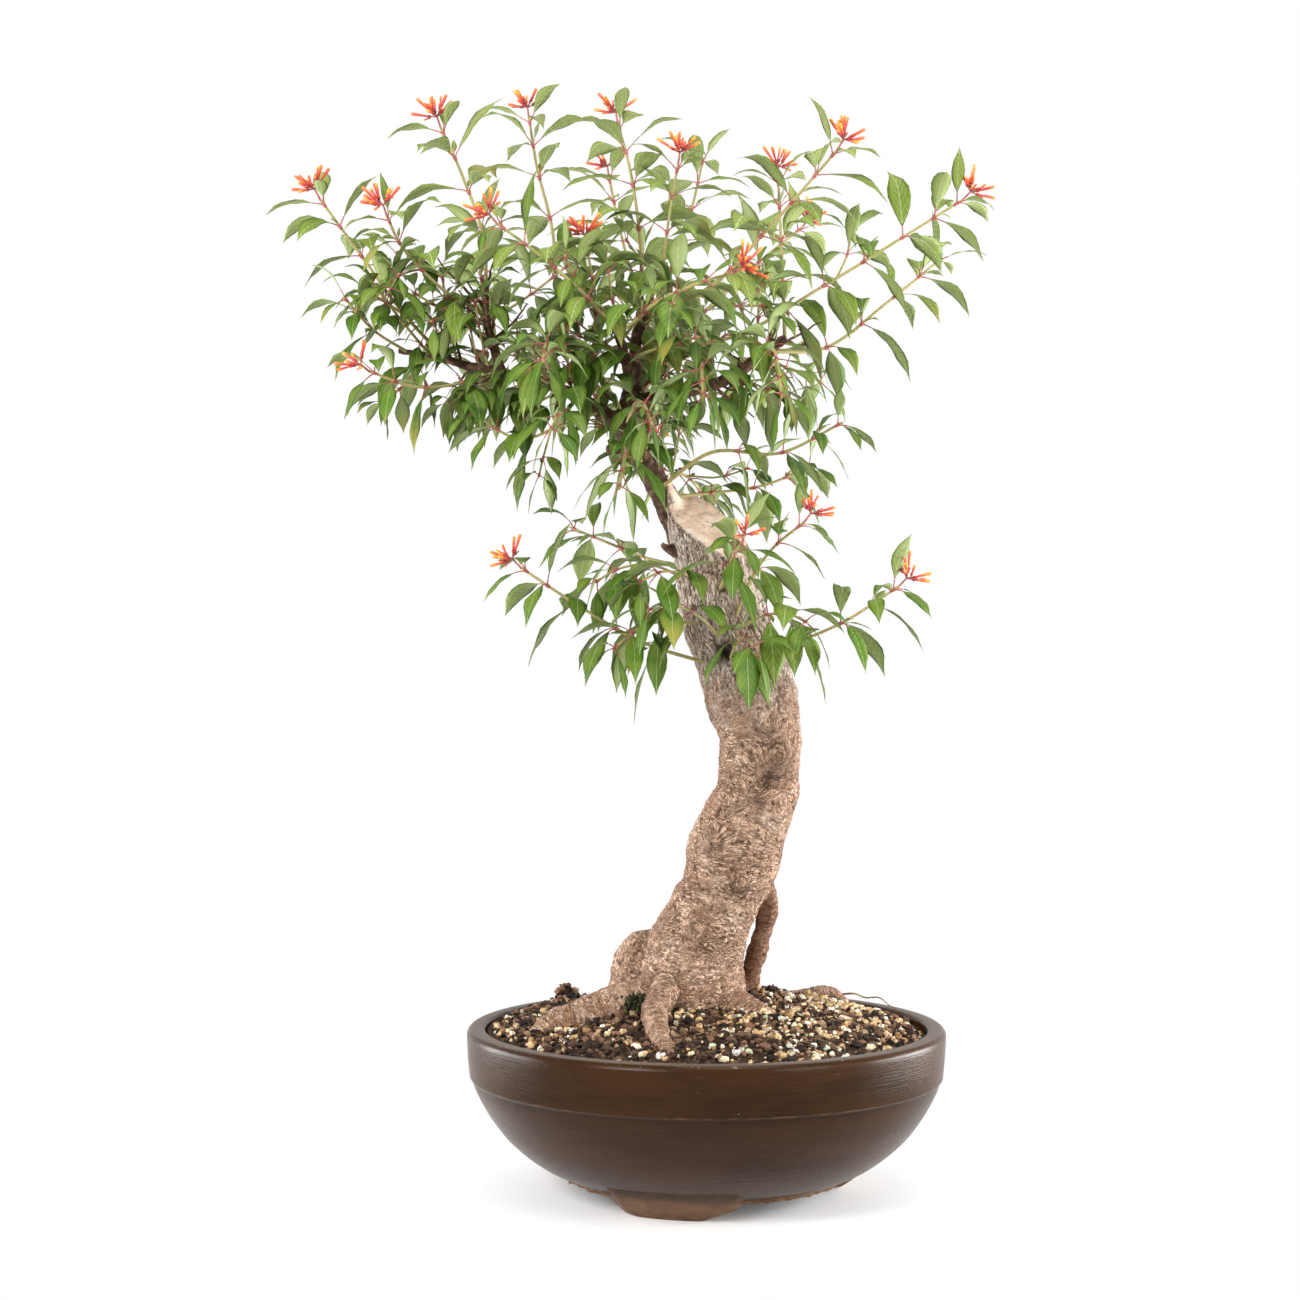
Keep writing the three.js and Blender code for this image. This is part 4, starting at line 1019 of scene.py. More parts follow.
# Painted shade darkens the bark where its fine relief sinks, and a painted highlight lightens it where the
# relief stands out.
tone = bark.mix(stand.step(0.46, 0.15) * 0.75, tone, "#4c3324")
tone = bark.mix(stand.step(0.56, 0.75) * 0.3, tone, "#dcc6b2")
# Painted shade darkens the knots and the folds round them.
tone = bark.mix(bark.attribute("folds") * 0.9, tone, "#453222")
height = bark.node("SeparateXYZ", sockets={0: bark.object_place()}, output=2) / MM
foot_shade = height.step(200, 150) * mottle.step(0.42, 0.66)
tone = bark.mix(foot_shade * 0.6, tone, "#90664a")
tone = bark.mix(bark.attribute("red_root") * 0.6, tone, "#7a4c33")
old_tone = bark.ramp(mottle, [(0.3, "#33231a"), (0.5, "#5b4131"), (0.7, "#8a6a55")])
tone = bark.mix(bark.attribute("branch"), tone, old_tone)
# Painted shade: the hollow is painted nearly black inside.
tone = bark.mix(bark.attribute("hollow").step(0.25, 0.95), tone, "#24180f")
cut_face = bark.attribute("scar")
rings = bark.noise(11, 4, (1, 1, 1.5))
# The cut face is pale wood, painted paler still as painted light that makes up for the leaves' shade on it.
cut_tone = bark.ramp(rings, [(0.3, "#efc9ae"), (0.5, "#ffe0ca"), (0.7, "#fff0e4")])
cut_tone = bark.mix(abs(bark.noise(16, 3) - 0.5).step(0.014, 0.004) * 0.6, cut_tone, "#a98664")
tone = bark.mix(cut_face, tone, cut_tone)
bark.feed("Base Color", tone)
bark.feed("Roughness", 0.72 + 0.2 * mottle)
lines = (1 - high_part) * low_lines + high_part * high_lines * 1.3
bumps = 0.5 * mottle + 0.4 * specks - lines
bark.relief(bumps * (1 - 0.8 * cut_face), 1.5)
wood = bmesh.new()
take_in(wood, grown_mesh)
new_piece("trunk_and_roots", wood, [bark], ["trunk"])


# Young stems and leaves
# Green to tan shoots stand on the old wood, with a ring of three leaves at each red joint. A leaf hangs
# from an arched red stalk: a slim blade, folded a little along its pale rib, with a drawn-out tip.

# The stems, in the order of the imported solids: the name, how full a bloom stands at the tip, how much of the
# foot is bare, and the line in millimetres from the old wood to the tip.
SPRAYS = [
    ("top_left", 1, 0.3, [(-187, 0, 766), (-188, -6, 805), (-207, -17, 861), (-223, -25, 896)]),
    ("top_mid_left", 1, 0.4, [(-138, -8, 684), (-129, 28, 744), (-132, 50, 820), (-146, 60, 879),
                              (-154, 70, 926)]),
    ("top_middle", 1, 0.15, [(-59, 2, 722), (-55, 7, 790), (-64, 13, 866), (-75, 20, 910)]),
    ("far_left_high", 1, 0.2, [(-222, -5, 706), (-255, -16, 741), (-290, -24, 789), (-322, -40, 833)]),
    ("left_twig", 0, 0.3, [(-252, -15, 738), (-268, -24, 749), (-284, -46, 756)]),
    ("left_high", 1, 0.25, [(-187, -5, 742), (-222, -38, 760), (-253, -60, 792), (-262, -80, 812)]),
    ("front_middle", 1, 0.3, [(-91, -2, 666), (-94, -24, 712), (-93, -44, 752), (-100, -62, 790)]),
    ("left_low", 0.6, 0.25, [(-180, -12, 692), (-215, -42, 678), (-243, -62, 675), (-275, -92, 684)]),
    ("top_mid_right", 1, 0.15, [(-42, 0, 752), (-36, -12, 790), (-29, -24, 838), (-24, -32, 864)]),
    ("top_right", 1, 0.2, [(68, 16, 723), (67, 28, 775), (65, 39, 835), (64, 46, 868)]),
    ("right_high", 1, 0.2, [(-43, -2, 748), (0, -28, 760), (50, -54, 806), (104, -92, 863)]),
    ("far_right_high", 1, 0.3, [(-58, -2, 713), (22, -14, 722), (99, -24, 764), (212, -42, 832)]),
    ("right_low", 0, 0.15, [(54, 12, 713), (104, 36, 719), (160, 47, 761), (208, 60, 801)]),
    ("right_hanging", 0, 0.25, [(-38, -4, 596), (5, -26, 624), (60, -38, 622), (112, -56, 646)]),
    ("right_under", 0, 0.2, [(-34, 6, 588), (10, 32, 594), (49, 38, 600), (95, 46, 618)]),
    ("lower_left", 1, 0.25, [(4, -18, 446), (-55, -38, 465), (-115, -50, 500), (-154, -62, 526)]),
    ("lower_left_back", 0, 0.25, [(-20, 18, 530), (-52, 36, 538), (-88, 52, 553), (-118, 72, 566)]),
    ("lower_right", 1, 0.25, [(20, -30, 450), (60, -48, 460), (110, -58, 480), (156, -72, 510)]),
    ("lower_right_up", 1, 0.25, [(20, -28, 474), (36, -46, 516), (54, -54, 542), (79, -62, 563)]),
    ("lower_front", 0.8, 0.3, [(10, -24, 506), (15, -66, 520), (20, -100, 534), (26, -132, 544)]),
    ("left_hanging", 0, 0.3, [(-90, -3, 660), (-123, -24, 646), (-157, -36, 634), (-196, -52, 656)]),
    ("front_left", 0, 0.25, [(-124, -8, 680), (-126, -55, 702), (-131, -108, 704), (-131, -158, 684)]),
    ("front_left_low", 0, 0.25, [(-112, -4, 674), (-114, -52, 672), (-118, -104, 656), (-126, -150, 630)]),
    ("front_low", 0, 0.25, [(-67, -5, 650), (-60, -50, 662), (-52, -100, 656), (-46, -150, 636)]),
    ("front_right_low", 0, 0.25, [(-5, -2, 683), (-5, -55, 694), (-6, -110, 684), (-6, -160, 656)]),
    ("front_under", 0, 0.25, [(-55, -4, 618), (-62, -44, 628), (-68, -86, 614), (-72, -126, 586)]),
    ("front_right", 0, 0.2, [(45, 6, 705), (50, -50, 712), (54, -104, 694), (56, -152, 656)]),
    ("front_high", 1, 0.15, [(-72, -56, 713), (-46, -98, 736), (-10, -130, 749), (18, -152, 754)]),
    ("front_left_high", 1, 0.2, [(-75, -73, 721), (-102, -88, 748), (-136, -100, 776), (-170, -112, 800)]),
    ("back_left_high", 0, 0.2, [(-176, -6, 694), (-184, 60, 738), (-194, 112, 792), (-202, 150, 846)]),
    ("back_middle_high", 1, 0.15, [(-40, 88, 721), (-60, 110, 780), (-75, 130, 840), (-85, 146, 890)]),
    ("back_right_high", 1, 0.15, [(-44, 74, 713), (-6, 108, 754), (45, 140, 805), (92, 162, 846)]),
    ("back_left", 0, 0.2, [(-110, -2, 674), (-122, 60, 694), (-152, 120, 702), (-192, 174, 690)]),
    ("back_right", 0, 0.2, [(12, 6, 686), (35, 62, 704), (70, 120, 714), (112, 170, 704)]),
    ("back_low", 1, 0.2, [(-66, 3, 648), (-60, 62, 668), (-50, 130, 672), (-44, 192, 656)]),
    ("back_under", 0, 0.2, [(-34, 10, 592), (-25, 62, 612), (-10, 112, 610), (6, 156, 590)]),
    ("top_back", 0, 0.15, [(-42, 3, 750), (-25, 42, 800), (-10, 76, 850), (0, 96, 896)]),
]
LEAF_LENGTH = 50
SMALL_LEAF_LENGTH = 27
LEAF_HALF_WIDTH = 0.19
LEAF_THICKNESS = 0.3
PETIOLE_LENGTH = 9
PETIOLE_SHARE = 0.25

# How far each stretch of a leaf bends down. Leaves below the hanging top hang from their foot, and the ones
# above arch over. High in the crown they stand stiffer and are longer.
ARCHED_BENDS = (0.35, 0.72, 0.95)
HANGING_BENDS = (0.5, 0.55, 0.5)
HANGING_TOP = 650
STIFF_START = 660
STIFF_FADE = 180
STIFF_MOST = 0.45
STIFF_GROWTH = 0.4

CROWN_MARGIN = 26
SIDE_SHOOT_TOP = 775
OPEN_SPRAYS = ("front_under", "front_low", "right_under", "right_hanging", "lower_right_up", "lower_front")
FIRST_WHORL = 5
WHORL_STEP = 22
WHORL_STEP_GROWTH = 8
WHORL_STEP_MOST = 38
BLADE_SHARES = (0, 0.07, 0.17, 0.29, 0.42, 0.56, 0.69, 0.81, 0.91, 1)
BLADE_WIDTHS = (0.03, 0.22, 0.54, 0.84, 1.0, 0.93, 0.66, 0.33, 0.12, 0.0)


def seeded_draw(seed):
    """The same row of numbers between 0 and 1 for the same seed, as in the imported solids."""
    state = seed
    while True:
        state = (state * 16807) % 2147483647
        yield state / 2147483647


def square_to(ahead):
    other = Vector((0, 1, 0)) if abs(ahead.y) < 0.9 else UP
    return ahead.cross(other).normalized()


def turned(direction, axis, angle):
    return Matrix.Rotation(angle, 3, axis) @ direction


def whorl_parts(length, bare, first=FIRST_WHORL, stride=WHORL_STEP):
    """Parts of a stem's length at which leaf rings stand, from the tip down."""
    parts, distance = [], first
    while distance < length * (1 - bare):
        parts.append(1 - distance / length)
        distance += stride
        stride = min(stride + WHORL_STEP_GROWTH, WHORL_STEP_MOST)
    return parts


def leaf_places(line, parts, seed):
    """Where each leaf of a stem stands and how it hangs."""
    draw = seeded_draw(seed)
    first_turn = next(draw) * math.pi
    places = []
    for whorl, part in enumerate(parts):
        joint, axis = line.point_at(part), line.tangent_at(part)
        side = square_to(axis)
        for i in range(3):
            turn = first_turn + whorl * math.pi / 3 + i * math.pi * 2 / 3 + (next(draw) - 0.5) * 0.5
            lift = max(0.75 - 0.12 * whorl + (next(draw) - 0.5) * 0.3, 0.15)
            heading = (turned(side, axis, turn) + axis * lift + UP * 0.12).normalized()
            roll = (next(draw) - 0.5) * 0.9
            length = LEAF_LENGTH * (0.66, 0.88, 1)[min(whorl, 2)] * (0.86 + 0.3 * next(draw))
            droop = 0.55 + 0.13 * min(whorl, 3) + 0.4 * next(draw)
            next(draw)  # the solids draw one more number here
            places.append((joint, heading, roll, length, droop))
    return places


def make_blade(cuts_across):
    """A flat closed leaf from two sheets that share their edge. X runs along it, Y across, Z is the side."""
    blade = bmesh.new()
    bmesh.ops.create_grid(blade, x_segments=len(BLADE_SHARES) - 1, y_segments=cuts_across, size=1)
    under = bmesh.ops.duplicate(blade, geom=blade.verts[:] + blade.edges[:] + blade.faces[:])["geom"]
    bmesh.ops.reverse_faces(blade, faces=[part for part in under if isinstance(part, bmesh.types.BMFace)])
    for vert in (part for part in under if isinstance(part, bmesh.types.BMVert)):
        vert.co.z = -1 if max(abs(vert.co.x), abs(vert.co.y)) < 0.99 else 0
    bmesh.ops.remove_doubles(blade, verts=blade.verts, dist=1e-4)
    paint(blade.faces, 2)
    return finished_mesh("blade", blade)


large_blade = make_blade(4)
small_blade = make_blade(2)


def hang_leaf(strands, leaves, place, draw, tone, thin_stalk=1.0):
    """Notes one leaf: its red stalk, and the frames along its blade from the arched middle line."""
    foot, heading, roll, length, droop = place
    headings = [heading]
    for bend in HANGING_BENDS if foot.z < HANGING_TOP else ARCHED_BENDS:
        headings.append((headings[-1] - UP * bend * droop).normalized())
    stalk_length = PETIOLE_LENGTH * min(length / 36, 1)
    start = foot + headings[0] * stalk_length
    broadest = start + headings[1] * length * 0.36
    narrowing = broadest + headings[2] * length * 0.33
    tip = narrowing + headings[3] * length * 0.31
    middle = Line([foot, start, broadest, narrowing, tip])
    level = heading.cross(UP)
    level = level.normalized() if level.length > 0.05 else Vector((1, 0, 0))
    frames = []
    for blade_share in BLADE_SHARES:
        share = PETIOLE_SHARE + (1 - PETIOLE_SHARE) * blade_share
        ahead = middle.tangent(share)
        side = turned(level, ahead, roll)
        side = (side - ahead * side.dot(ahead)).normalized()
        frames.append((middle.point(share), side, side.cross(ahead)))
    stalk = [in_frame(middle.point(share)) for share in (0, 0.08, 0.17, PETIOLE_SHARE, 0.29)]
    thickness = [radius * thin_stalk * MM for radius in (0.8, 0.6, 0.52, 0.5, 0.3)]
    strands.append((stalk, thickness, 1))
    breadth = length * LEAF_HALF_WIDTH * draw.uniform(0.74, 1.04)
    leaves.append((frames, length, breadth, draw.uniform(-0.05, 0.45), draw.uniform(0, 6), tone))


def add_leaf(bm, frames, length, breadth, fold, wave, tone, dry):
    """Bends a copy of the flat blade onto a leaf's middle line."""
    tone_layer = bm.verts.layers.float["tone"]
    dry_layer = bm.verts.layers.float["dry"]
    under_layer = bm.verts.layers.float["under"]
    blade_layer = bm.verts.layers.float_vector["blade"]
    last = len(BLADE_SHARES) - 1
    for vert in stamped(bm, large_blade if length > SMALL_LEAF_LENGTH else small_blade):
        i = round((vert.co.x + 1) / 2 * last)
        across, under = vert.co.y, vert.co.z
        centre, side, top = frames[i]
        half = breadth * BLADE_WIDTHS[i]
        reach = across * half * (1 - 0.12 * fold)
        rise = abs(reach) * fold * (1 - 0.45 * abs(across))
        rise += math.sin(i * 1.45 + wave + across) * 0.11 * half * across ** 2
        vert[tone_layer] = tone
        vert[dry_layer] = dry
        vert[under_layer] = -under
        vert[blade_layer] = (BLADE_SHARES[i], across * BLADE_WIDTHS[i], length / LEAF_LENGTH)
        vert.co = in_frame(centre + side * reach + top * (rise + under * LEAF_THICKNESS))


def stem_radius(part, length):
    return 1.1 + 0.6 * (1 - part) * min(length / 160, 1.2)


def leaf_tone(point, draw, shift=0.0):
    """Pale high up and darker low down, as the leaves of the photographed crown look: painted light on the lit
    top and painted shade lower in the crown.
    """
    height_share = min(max((point.z - 640) / 200, 0), 1)
    lower_branches = 0.16 if point.z < 580 else 0.0
    return min(max(0.2 + 0.62 * height_share + lower_branches + shift + draw.gauss(0, 0.1), 0), 1)


def grow_stem(strands, leaves, line, parts, seed, draw, scale=1.0, shift=0.0, thick=1.0):
    """Notes one stem with its red joints, leaf stalks and leaves."""
    count = max(4, round(line.length / 8))
    shares = [i / count for i in range(count + 1)]
    thickness = [stem_radius(share, line.length) * thick * MM for share in shares]
    strands.append(([in_frame(line.point_at(share)) for share in shares], thickness, 0))
    for joint, heading, roll, length, droop in leaf_places(line, parts, seed):
        stiff = STIFF_MOST * min(max((joint.z - STIFF_START) / STIFF_FADE, 0), 1)
        place = (joint, heading, roll, length * scale * (1 + STIFF_GROWTH * stiff), droop * (1 - stiff))
        hang_leaf(strands, leaves, place, draw, leaf_tone(joint, draw, shift), min(scale, 1))
    for whorl, part in enumerate(parts):
        joint, axis = line.point_at(part), line.tangent_at(part)
        radius = stem_radius(part, line.length) * thick
        collar = [in_frame(joint + axis * step) for step in (-3.4, -1.3, 0.5, 2.2)]
        strands.append((collar, [radius * factor * MM for factor in (0.95, 1.35, 1.5, 0.95)], 1))
        for _ in range(draw.randrange(0, 3) if whorl else 0):
            outward = turned(square_to(axis), axis, draw.uniform(0, 6.3))
            heading = (outward + axis * 1.4 + UP * 0.3).normalized()
            small = (joint + axis * 1.2, heading, draw.uniform(-0.6, 0.6), draw.uniform(9, 20) * scale,
                     draw.uniform(0.1, 0.7))
            hang_leaf(strands, leaves, small, draw, leaf_tone(joint, draw, shift + 0.1), 0.6)


def side_shoot(line, part, length, draw, upward=0.45):
    """A short shoot that leaves a stem sideways and turns up, or nothing where it would leave the crown."""
    joint, axis = line.point_at(part), line.tangent_at(part)
    outward = turned(square_to(axis), axis, draw.uniform(0, 6.3))
    first = (outward + axis * draw.uniform(0.3, 0.9) + UP * upward * 0.5).normalized()
    second = (first + UP * upward + outward * 0.2).normalized()
    tip = joint + first * length * 0.5 + second * length * 0.5
    inside = all(low + CROWN_MARGIN * MM < value < high - CROWN_MARGIN * MM for low, value, high
                 in zip(solid_box[0], in_frame(tip), solid_box[1]))
    return Line([joint, joint + first * length * 0.5, tip]) if inside else None


def leafy_piece(name, strands, leaves, draw, nodes=()):
    """Makes noted stems and leaves into a piece."""
    bm = bmesh.new()
    for layer in ("tone", "dry", "under"):
        bm.verts.layers.float.new(layer)
    bm.verts.layers.float_vector.new("blade")
    take_in(bm, tubes(name, strands, 1))
    for leaf in leaves:
        add_leaf(bm, *leaf, draw.random() ** 12)
    new_piece(name, bm, [stem_skin, stalk_skin, leaf_skin], nodes)


stem_skin = Finish("green_tan_stem", Specular_IOR_Level=0.35)
stem_mottle = stem_skin.noise(3.5, 4)
stem_patch = stem_skin.noise(30, 2)
stem_tone = stem_skin.mix(stem_patch.step(0.35, 0.65), "#969458", "#a4935f")
stem_skin.feed("Base Color", stem_skin.mix(stem_mottle.step(0.5, 0.72) * 0.5, stem_tone, "#85614a"))
stem_skin.feed("Roughness", 0.5 + 0.2 * stem_mottle)
stem_skin.relief(stem_mottle, 0.25)

stalk_skin = Finish("red_leaf_stalk", Specular_IOR_Level=0.4)
stalk_mottle = stalk_skin.noise(4, 3)
stalk_skin.feed("Base Color", stalk_skin.mix(stalk_mottle.step(0.35, 0.65), "#8c4038", "#a9635a"))
stalk_skin.feed("Roughness", 0.45 + 0.15 * stalk_mottle)
stalk_skin.relief(stalk_mottle, 0.15)

leaf_skin = Finish("veined_leaf", Specular_IOR_Level=0.22)
blade_place = leaf_skin.attribute("blade", output=1)
along = leaf_skin.node("SeparateXYZ", sockets={0: blade_place}, output=0)
across = abs(leaf_skin.node("SeparateXYZ", sockets={0: blade_place}, output=1))
tone = leaf_skin.attribute("tone")
under_side = leaf_skin.attribute("under")
leaf_mottle = leaf_skin.noise(5, 4)
leaf_patch = leaf_skin.noise(26, 2)
rib = across.step(0.045, 0.01)
vein_run = (8 * (along - 0.24 * across - 0.1 * across * across)).fraction()
vein = abs(vein_run - 0.5).step(0.13, 0.03) * across.step(0.95, 0.5)
between = abs(vein_run - 0.5)
green = leaf_skin.ramp(tone, [(0.0, "#2a430a"), (0.35, "#476814"), (0.65, "#647a27"), (1.0, "#7f8b41")])
green = leaf_skin.mix(leaf_patch.step(0.4, 0.65) * 0.35, green, "#7d8a34")
green = leaf_skin.mix(leaf_mottle.step(0.45, 0.7) * 0.16, green, "#3d561c")
green = leaf_skin.mix(under_side * 0.6, green, "#96a26a")
green = leaf_skin.mix(vein * (0.04 + 0.34 * tone * tone), green, "#c6cf9f")
green = leaf_skin.mix(rib * (0.25 + 0.4 * tone), green, "#c6cb98")
dry_part = (leaf_skin.attribute("dry") * 1.1 + along * 0.7 + leaf_mottle * 0.4).step(1.3, 1.75)
green = leaf_skin.mix(dry_part * 0.6, green, "#94873c")
edge_red = across.step(0.92, 1.0) * 0.25 + along.step(0.95, 1.0) * 0.5
green = leaf_skin.mix(edge_red * leaf_patch.step(0.45, 0.6), green, "#7d4a35")
leaf_skin.feed("Base Color", green)
leaf_skin.feed("Roughness", 0.45 + 0.15 * leaf_mottle)
leaf_skin.relief(0.3 * leaf_mottle + 0.35 * between - rib * 0.5, 0.15)

stems_of = {}
for index, (name, _, bare, points) in enumerate(SPRAYS):
    draw = random.Random(400 + index)
    strands, leaves, line = [], [], Line(points)
    lower = name.startswith("lower")
    chance = 0.0 if name in OPEN_SPRAYS else 0.2 if lower or "right" in name else 0.4
    parts = whorl_parts(line.length, bare)
    grow_stem(strands, leaves, line, parts, 1000 + 37 * index, draw, scale=1.12 if lower else 1.0)
    for part in (0.2, 0.4, 0.6):
        shoot = side_shoot(line, part + draw.uniform(-0.05, 0.05), draw.uniform(34, 72), draw)
        if shoot and draw.random() < chance and shoot.points[0].z < SIDE_SHOOT_TOP:
            parts = whorl_parts(shoot.length, 0.25, 3, 20)
            seed = 5000 + 11 * index + round(90 * part)
            grow_stem(strands, leaves, shoot, parts, seed, draw, scale=0.8, shift=-0.06, thick=0.8)
    stems_of[name] = (strands, leaves, draw)
fork_strands, fork_leaves, _ = stems_of.pop("left_twig")
stems_of["far_left_high"][0].extend(fork_strands)
stems_of["far_left_high"][1].extend(fork_leaves)
for name, (strands, leaves, draw) in stems_of.items():
    leafy_piece("leaves_" + name, strands, leaves, draw, ["spray_" + name])

# Short leafy shoots fill the crown from the old branches outwards: branch, its stretch, and their number.
INNER_SHOOTS = (
    ("leader", 0, 0.36, 0.9, 9), ("left_branch", 1, 0.12, 0.98, 15), ("left_riser", 2, 0.2, 0.8, 3),
    ("right_branch", 3, 0.15, 0.95, 4), ("front_branch", 5, 0.3, 1.0, 4), ("back_branch", 6, 0.3, 1.0, 5),
)
for shoot_set, (name, branch, low, high, number) in enumerate(INNER_SHOOTS):
    draw = random.Random(900 + shoot_set)
    strands, leaves = [], []
    branch_line = Line(OLD_BRANCHES[branch][0])
    for i in range(number):
        part = low + (high - low) * (i + draw.random()) / number
        shoot = side_shoot(branch_line, part, draw.uniform(44, 96), draw, draw.uniform(-0.1, 0.5))
        if shoot:
            parts = whorl_parts(shoot.length, 0.12, 4, 17)
            seed = 7000 + 101 * shoot_set + 13 * i
            scale = draw.uniform(0.75, 1.0)
            # The inner shoots' leaves are darker, as painted shade inside the crown.
            grow_stem(strands, leaves, shoot, parts, seed, draw, scale, shift=-0.2, thick=0.9)
    leafy_piece("inner_shoots_" + name, strands, leaves, draw)

# Bare dark twigs stand between the leaves on the old branches: branch, its stretch, and their number.
TWIG_SETS = ((0, 0.5, 1.0, 12), (2, 0.2, 1.0, 12), (1, 0.3, 0.9, 10), (3, 0.4, 1.0, 12))
TWIG_BENDS = 6
TWIG_WAVER = 0.7
dry_twig = Finish("dry_twig", Specular_IOR_Level=0.25)
twig_mottle = dry_twig.noise(5, 4)
dry_twig.feed("Base Color", dry_twig.ramp(twig_mottle, [(0.3, "#2f2018"), (0.5, "#5b4030"),
                                                        (0.7, "#8d6a52")]))
dry_twig.feed("Roughness", 0.7 + 0.2 * twig_mottle)
dry_twig.relief(twig_mottle, 0.3)
twig_draw = random.Random(1234)
twigs = []
for branch, low, high, number in TWIG_SETS:
    branch_line = Line(OLD_BRANCHES[branch][0])
    for i in range(number):
        part = low + (high - low) * (i + twig_draw.random()) / number
        twig = side_shoot(branch_line, part, twig_draw.uniform(22, 58), twig_draw, twig_draw.uniform(0, 0.6))
        if not twig:
            continue
        fork = side_shoot(twig, twig_draw.uniform(0.4, 0.7), twig_draw.uniform(8, 22), twig_draw, 0.2)
        for line, thick in [(twig, 1.5), (fork, 0.9)] if fork else [(twig, 1.5)]:
            points = []
            for j in range(TWIG_BENDS + 1):
                waver = Vector([twig_draw.gauss(0, TWIG_WAVER) for _ in range(3)])
                points.append(in_frame(line.point_at(j / TWIG_BENDS) + waver))
            twigs.append((points, [thick * (1 - 0.1 * j) * MM for j in range(TWIG_BENDS + 1)], 0))
bare_twigs = bmesh.new()
take_in(bare_twigs, tubes("twigs", twigs, 1))
new_piece("bare_twigs", bare_twigs, [dry_twig])

# Leafy shoots in front of the trunk's upper part.
TRUNK_SHOOTS = (
    [(10, -30, 470), (-8, -58, 486), (-28, -82, 494), (-50, -100, 490)],
    [(20, -30, 452), (24, -60, 464), (30, -88, 468), (38, -110, 460)],
    [(0, -24, 508), (-18, -52, 520), (-38, -74, 522), (-58, -88, 512)],
    [(22, -28, 474), (46, -54, 486), (64, -78, 488), (80, -98, 480)],
    [(-20, -4, 520), (-48, -16, 530), (-74, -26, 526), (-94, -36, 514)],
    [(-8, -28, 480), (-36, -46, 482), (-60, -60, 474), (-78, -70, 458)],
)
strands, leaves, draw = [], [], random.Random(77)
for i, points in enumerate(TRUNK_SHOOTS):
    line = Line(points)
    parts = whorl_parts(line.length, 0.22, 3, 20)
    grow_stem(strands, leaves, line, parts, 8000 + 17 * i, draw, scale=1.1, shift=0.02, thick=0.9)
leafy_piece("trunk_shoots", strands, leaves, draw)


# Blooms
# At the tips stand loose forked clusters of slender tube flowers on red stalks. Each tube leaves a small
# dark red cup and runs from red at its foot to orange at its mouth, and unopened buds stand between them.
STALK_LENGTH = 9
TUBE_LENGTH = 18
TUBE_TURN = 2.4
FAN_INNER_ANGLE = 0.35
FAN_WIDTH = 0.95
FORK_LENGTH = 5.5
TUBE_FORM_LENGTH = 13.4
BUD_FORM_LENGTH = 8.5
SHORTEST_TUBE = 7
CUP_SEAT = 0.5
CUP_DEPTH = 1.6


def slim_shape(outline, steps=8):
    """A slim round shape along Z from its outline of radius and height, closed at both ends."""
    tube = bmesh.new()
    spun(tube, outline, steps, closed=False)
    along_layer = tube.verts.layers.float.new("along")
    tube.verts.layers.float.new("tone")
    top = max(z for _, z in outline)
    for vert in tube.verts:
        vert[along_layer] = vert.co.z / MM / top
    return finished_mesh("slim_shape", tube)


flower_tube = slim_shape([(0, 0), (0.8, 0.2), (0.85, 3), (1.15, 7), (1.4, 11.6), (1.2, 12.9),
                          (1.5, TUBE_FORM_LENGTH), (0.65, 12.8), (0, 12)])
flower_bud = slim_shape([(0, 0), (0.75, 0.3), (0.85, 3), (1.1, 6.4), (0.8, 8), (0, BUD_FORM_LENGTH)])
flower_cup = slim_shape([(0, 0), (0.7, 0.1), (1.3, 1.4), (1.25, 2.7), (0.8, 3.1), (0, 2.8)])

petal = Finish("orange_red_petal", Specular_IOR_Level=0.4, Subsurface_Weight=0.12, Subsurface_Scale=0.0015)
petal.shader.inputs["Subsurface Radius"].default_value = (1.0, 0.4, 0.2)
up_tube = petal.attribute("along")
petal_tone = petal.attribute("tone")
petal_grain = petal.noise(2.2, 3)
flush = petal.ramp(up_tube + 0.4 * (petal_tone - 0.5) + 0.12 * (petal_grain - 0.5), [
    (0.0, "#b23c38"), (0.4, "#cf4c38"), (0.68, "#e2683a"), (0.9, "#f08a38"), (1.0, "#f5a344")])
petal.feed("Base Color", flush)
petal.feed("Roughness", 0.4 + 0.15 * petal_grain)
petal.relief(petal_grain, 0.12)

cup_skin = Finish("dark_red_cup", Specular_IOR_Level=0.4)
cup_grain = cup_skin.noise(1.5, 3)
cup_skin.feed("Base Color", cup_skin.mix(cup_grain.step(0.35, 0.65), "#8a2f30", "#b84c44"))
cup_skin.feed("Roughness", 0.45 + 0.2 * cup_grain)


def put(bm, mesh, foot, heading, length_factor, value, thickness=1.0, material=0):
    """Adds a copy of a slim shape that stands at the foot and points along the heading."""
    tone_layer = bm.verts.layers.float["tone"]
    turn = heading.to_track_quat("Z", "Y").to_matrix()
    turn = turn @ Matrix.Diagonal((thickness, thickness, length_factor))
    known = len(bm.faces)
    for vert in stamped(bm, mesh):
        vert[tone_layer] = value
        vert.co = in_frame(foot) + turn @ vert.co
    bm.faces.ensure_lookup_table()
    paint(bm.faces[known:], material)


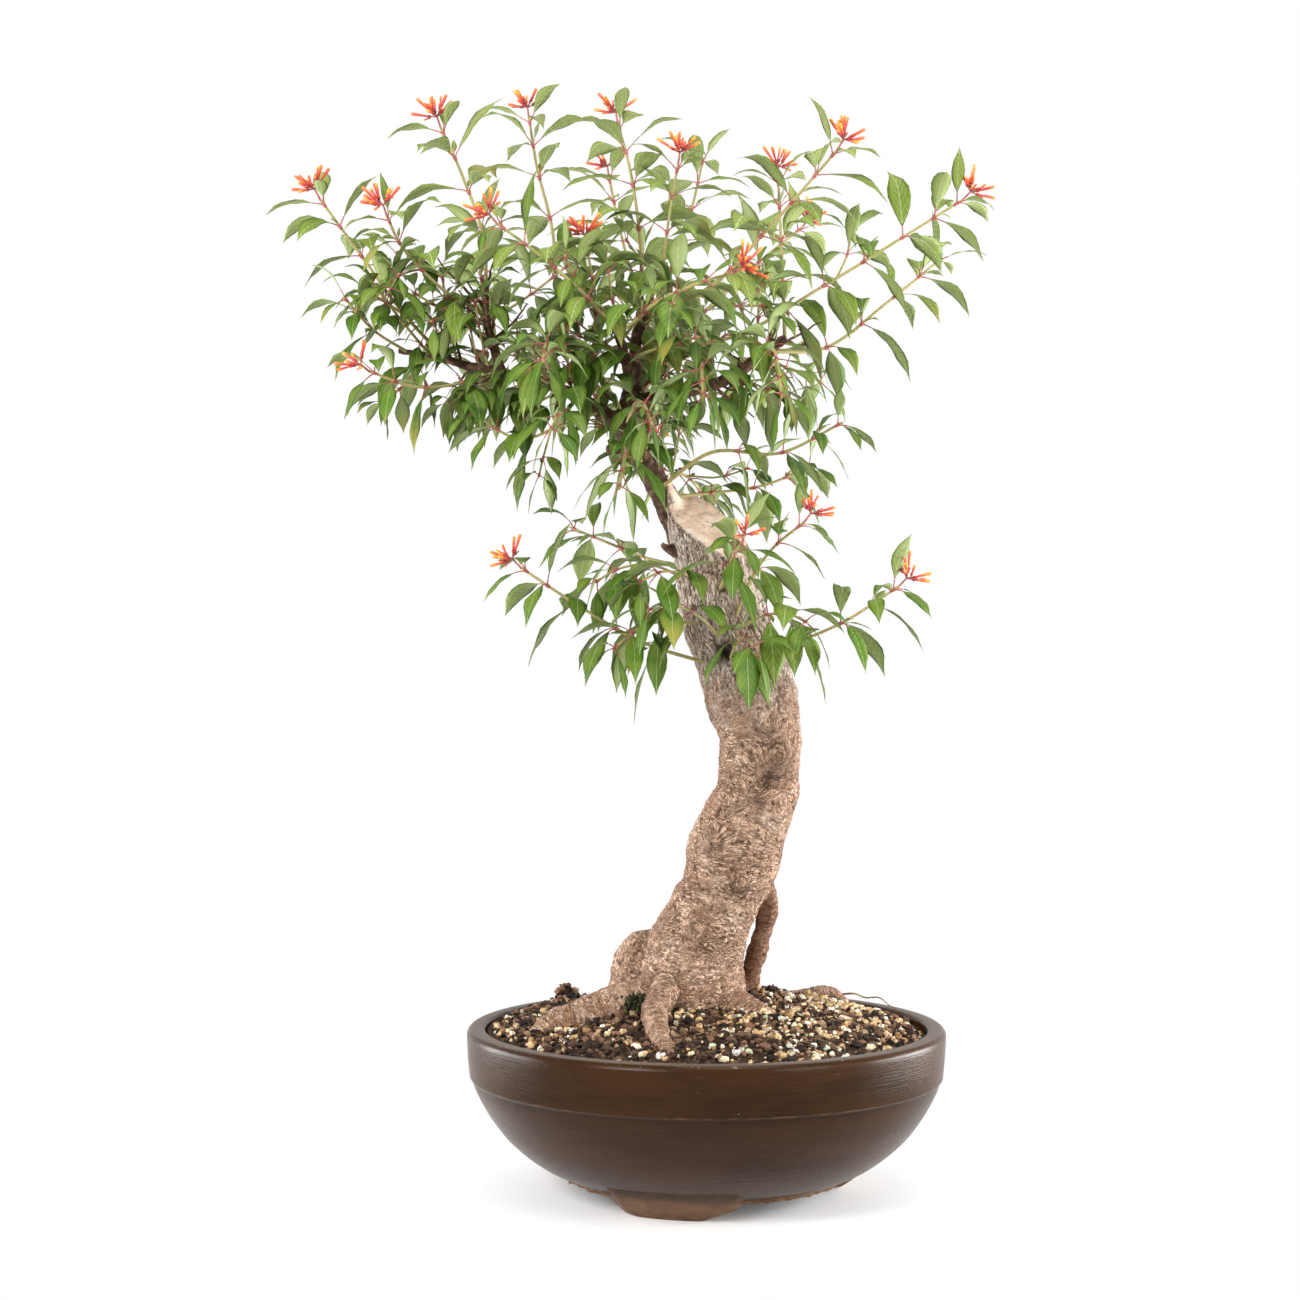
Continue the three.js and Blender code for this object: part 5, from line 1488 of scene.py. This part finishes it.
def bloom_piece(name, line, share, seed, grown):
    """One forked cluster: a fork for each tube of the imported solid, with smaller flowers and buds on it."""
    draw = seeded_draw(seed)
    extra = random.Random(seed)
    tip_heading = line.tangent_at(1)
    ahead = (tip_heading + UP * 0.35).normalized()
    foot = line.point_at(1) + tip_heading * 0.75
    side = square_to(ahead)
    crown = foot + ahead * STALK_LENGTH
    bm = bmesh.new()
    bm.verts.layers.float.new("along")
    bm.verts.layers.float.new("tone")
    stem = [in_frame(foot - ahead * 2), in_frame(foot.lerp(crown, 0.5)), in_frame(crown + ahead * 0.5)]
    strands = [(stem, [1.0 * MM, 0.85 * MM, 0.8 * MM], 1)]
    flowers = []
    tubes_wanted = round(6 * share)
    for i in range(tubes_wanted):
        turn = i * TUBE_TURN + next(draw) * 0.5
        spread = FAN_INNER_ANGLE + FAN_WIDTH * math.sqrt((i + 0.5) / tubes_wanted)
        heading = (ahead * math.cos(spread) + turned(side, ahead, turn) * math.sin(spread)).normalized()
        reach = TUBE_LENGTH * (1.0 + 0.35 * next(draw))
        fork = crown + heading * FORK_LENGTH
        strands.append(([in_frame(crown), in_frame(fork)], [0.7 * MM, 0.55 * MM], 1))
        flowers.append((fork, (heading + UP * 0.15).normalized(), (reach - FORK_LENGTH - 2) * grown, 1.0))
        for _ in range(2):
            joint = crown + heading * FORK_LENGTH * extra.uniform(0.35, 1.0)
            aside = Vector([extra.gauss(0, 1) for _ in range(3)]).normalized()
            branch = (heading + aside * 0.75 + UP * 0.25).normalized()
            end = joint + branch * extra.uniform(1.0, 3.0)
            strands.append(([in_frame(joint), in_frame(end)], [0.5 * MM, 0.45 * MM], 1))
            flowers.append((end, branch, extra.choice((3.5, 5, 8, 11)) * grown, extra.uniform(0.7, 0.95)))
    for start, heading, length, thickness in flowers:
        value = extra.random()
        put(bm, flower_cup, start - heading * CUP_SEAT, heading, 1, value, thickness, 2)
        foot = start + heading * CUP_DEPTH
        if length > SHORTEST_TUBE:
            put(bm, flower_tube, foot, heading, length / TUBE_FORM_LENGTH, value, thickness)
        else:
            put(bm, flower_bud, foot, heading, length / BUD_FORM_LENGTH, value * 0.4, thickness * 0.85)
    take_in(bm, tubes(name, strands, 1))
    new_piece("flowers_" + name, bm, [petal, stalk_skin, cup_skin], ["bloom_" + name])


for order, (name, bloom, _, points) in enumerate([spray for spray in SPRAYS if spray[1]]):
    bloom_piece(name, Line(points), bloom, 500 + 19 * order, 0.6 if name == "lower_front" else 1.0)
for mesh in (large_blade, small_blade, flower_tube, flower_bud, flower_cup):
    bpy.data.meshes.remove(mesh)
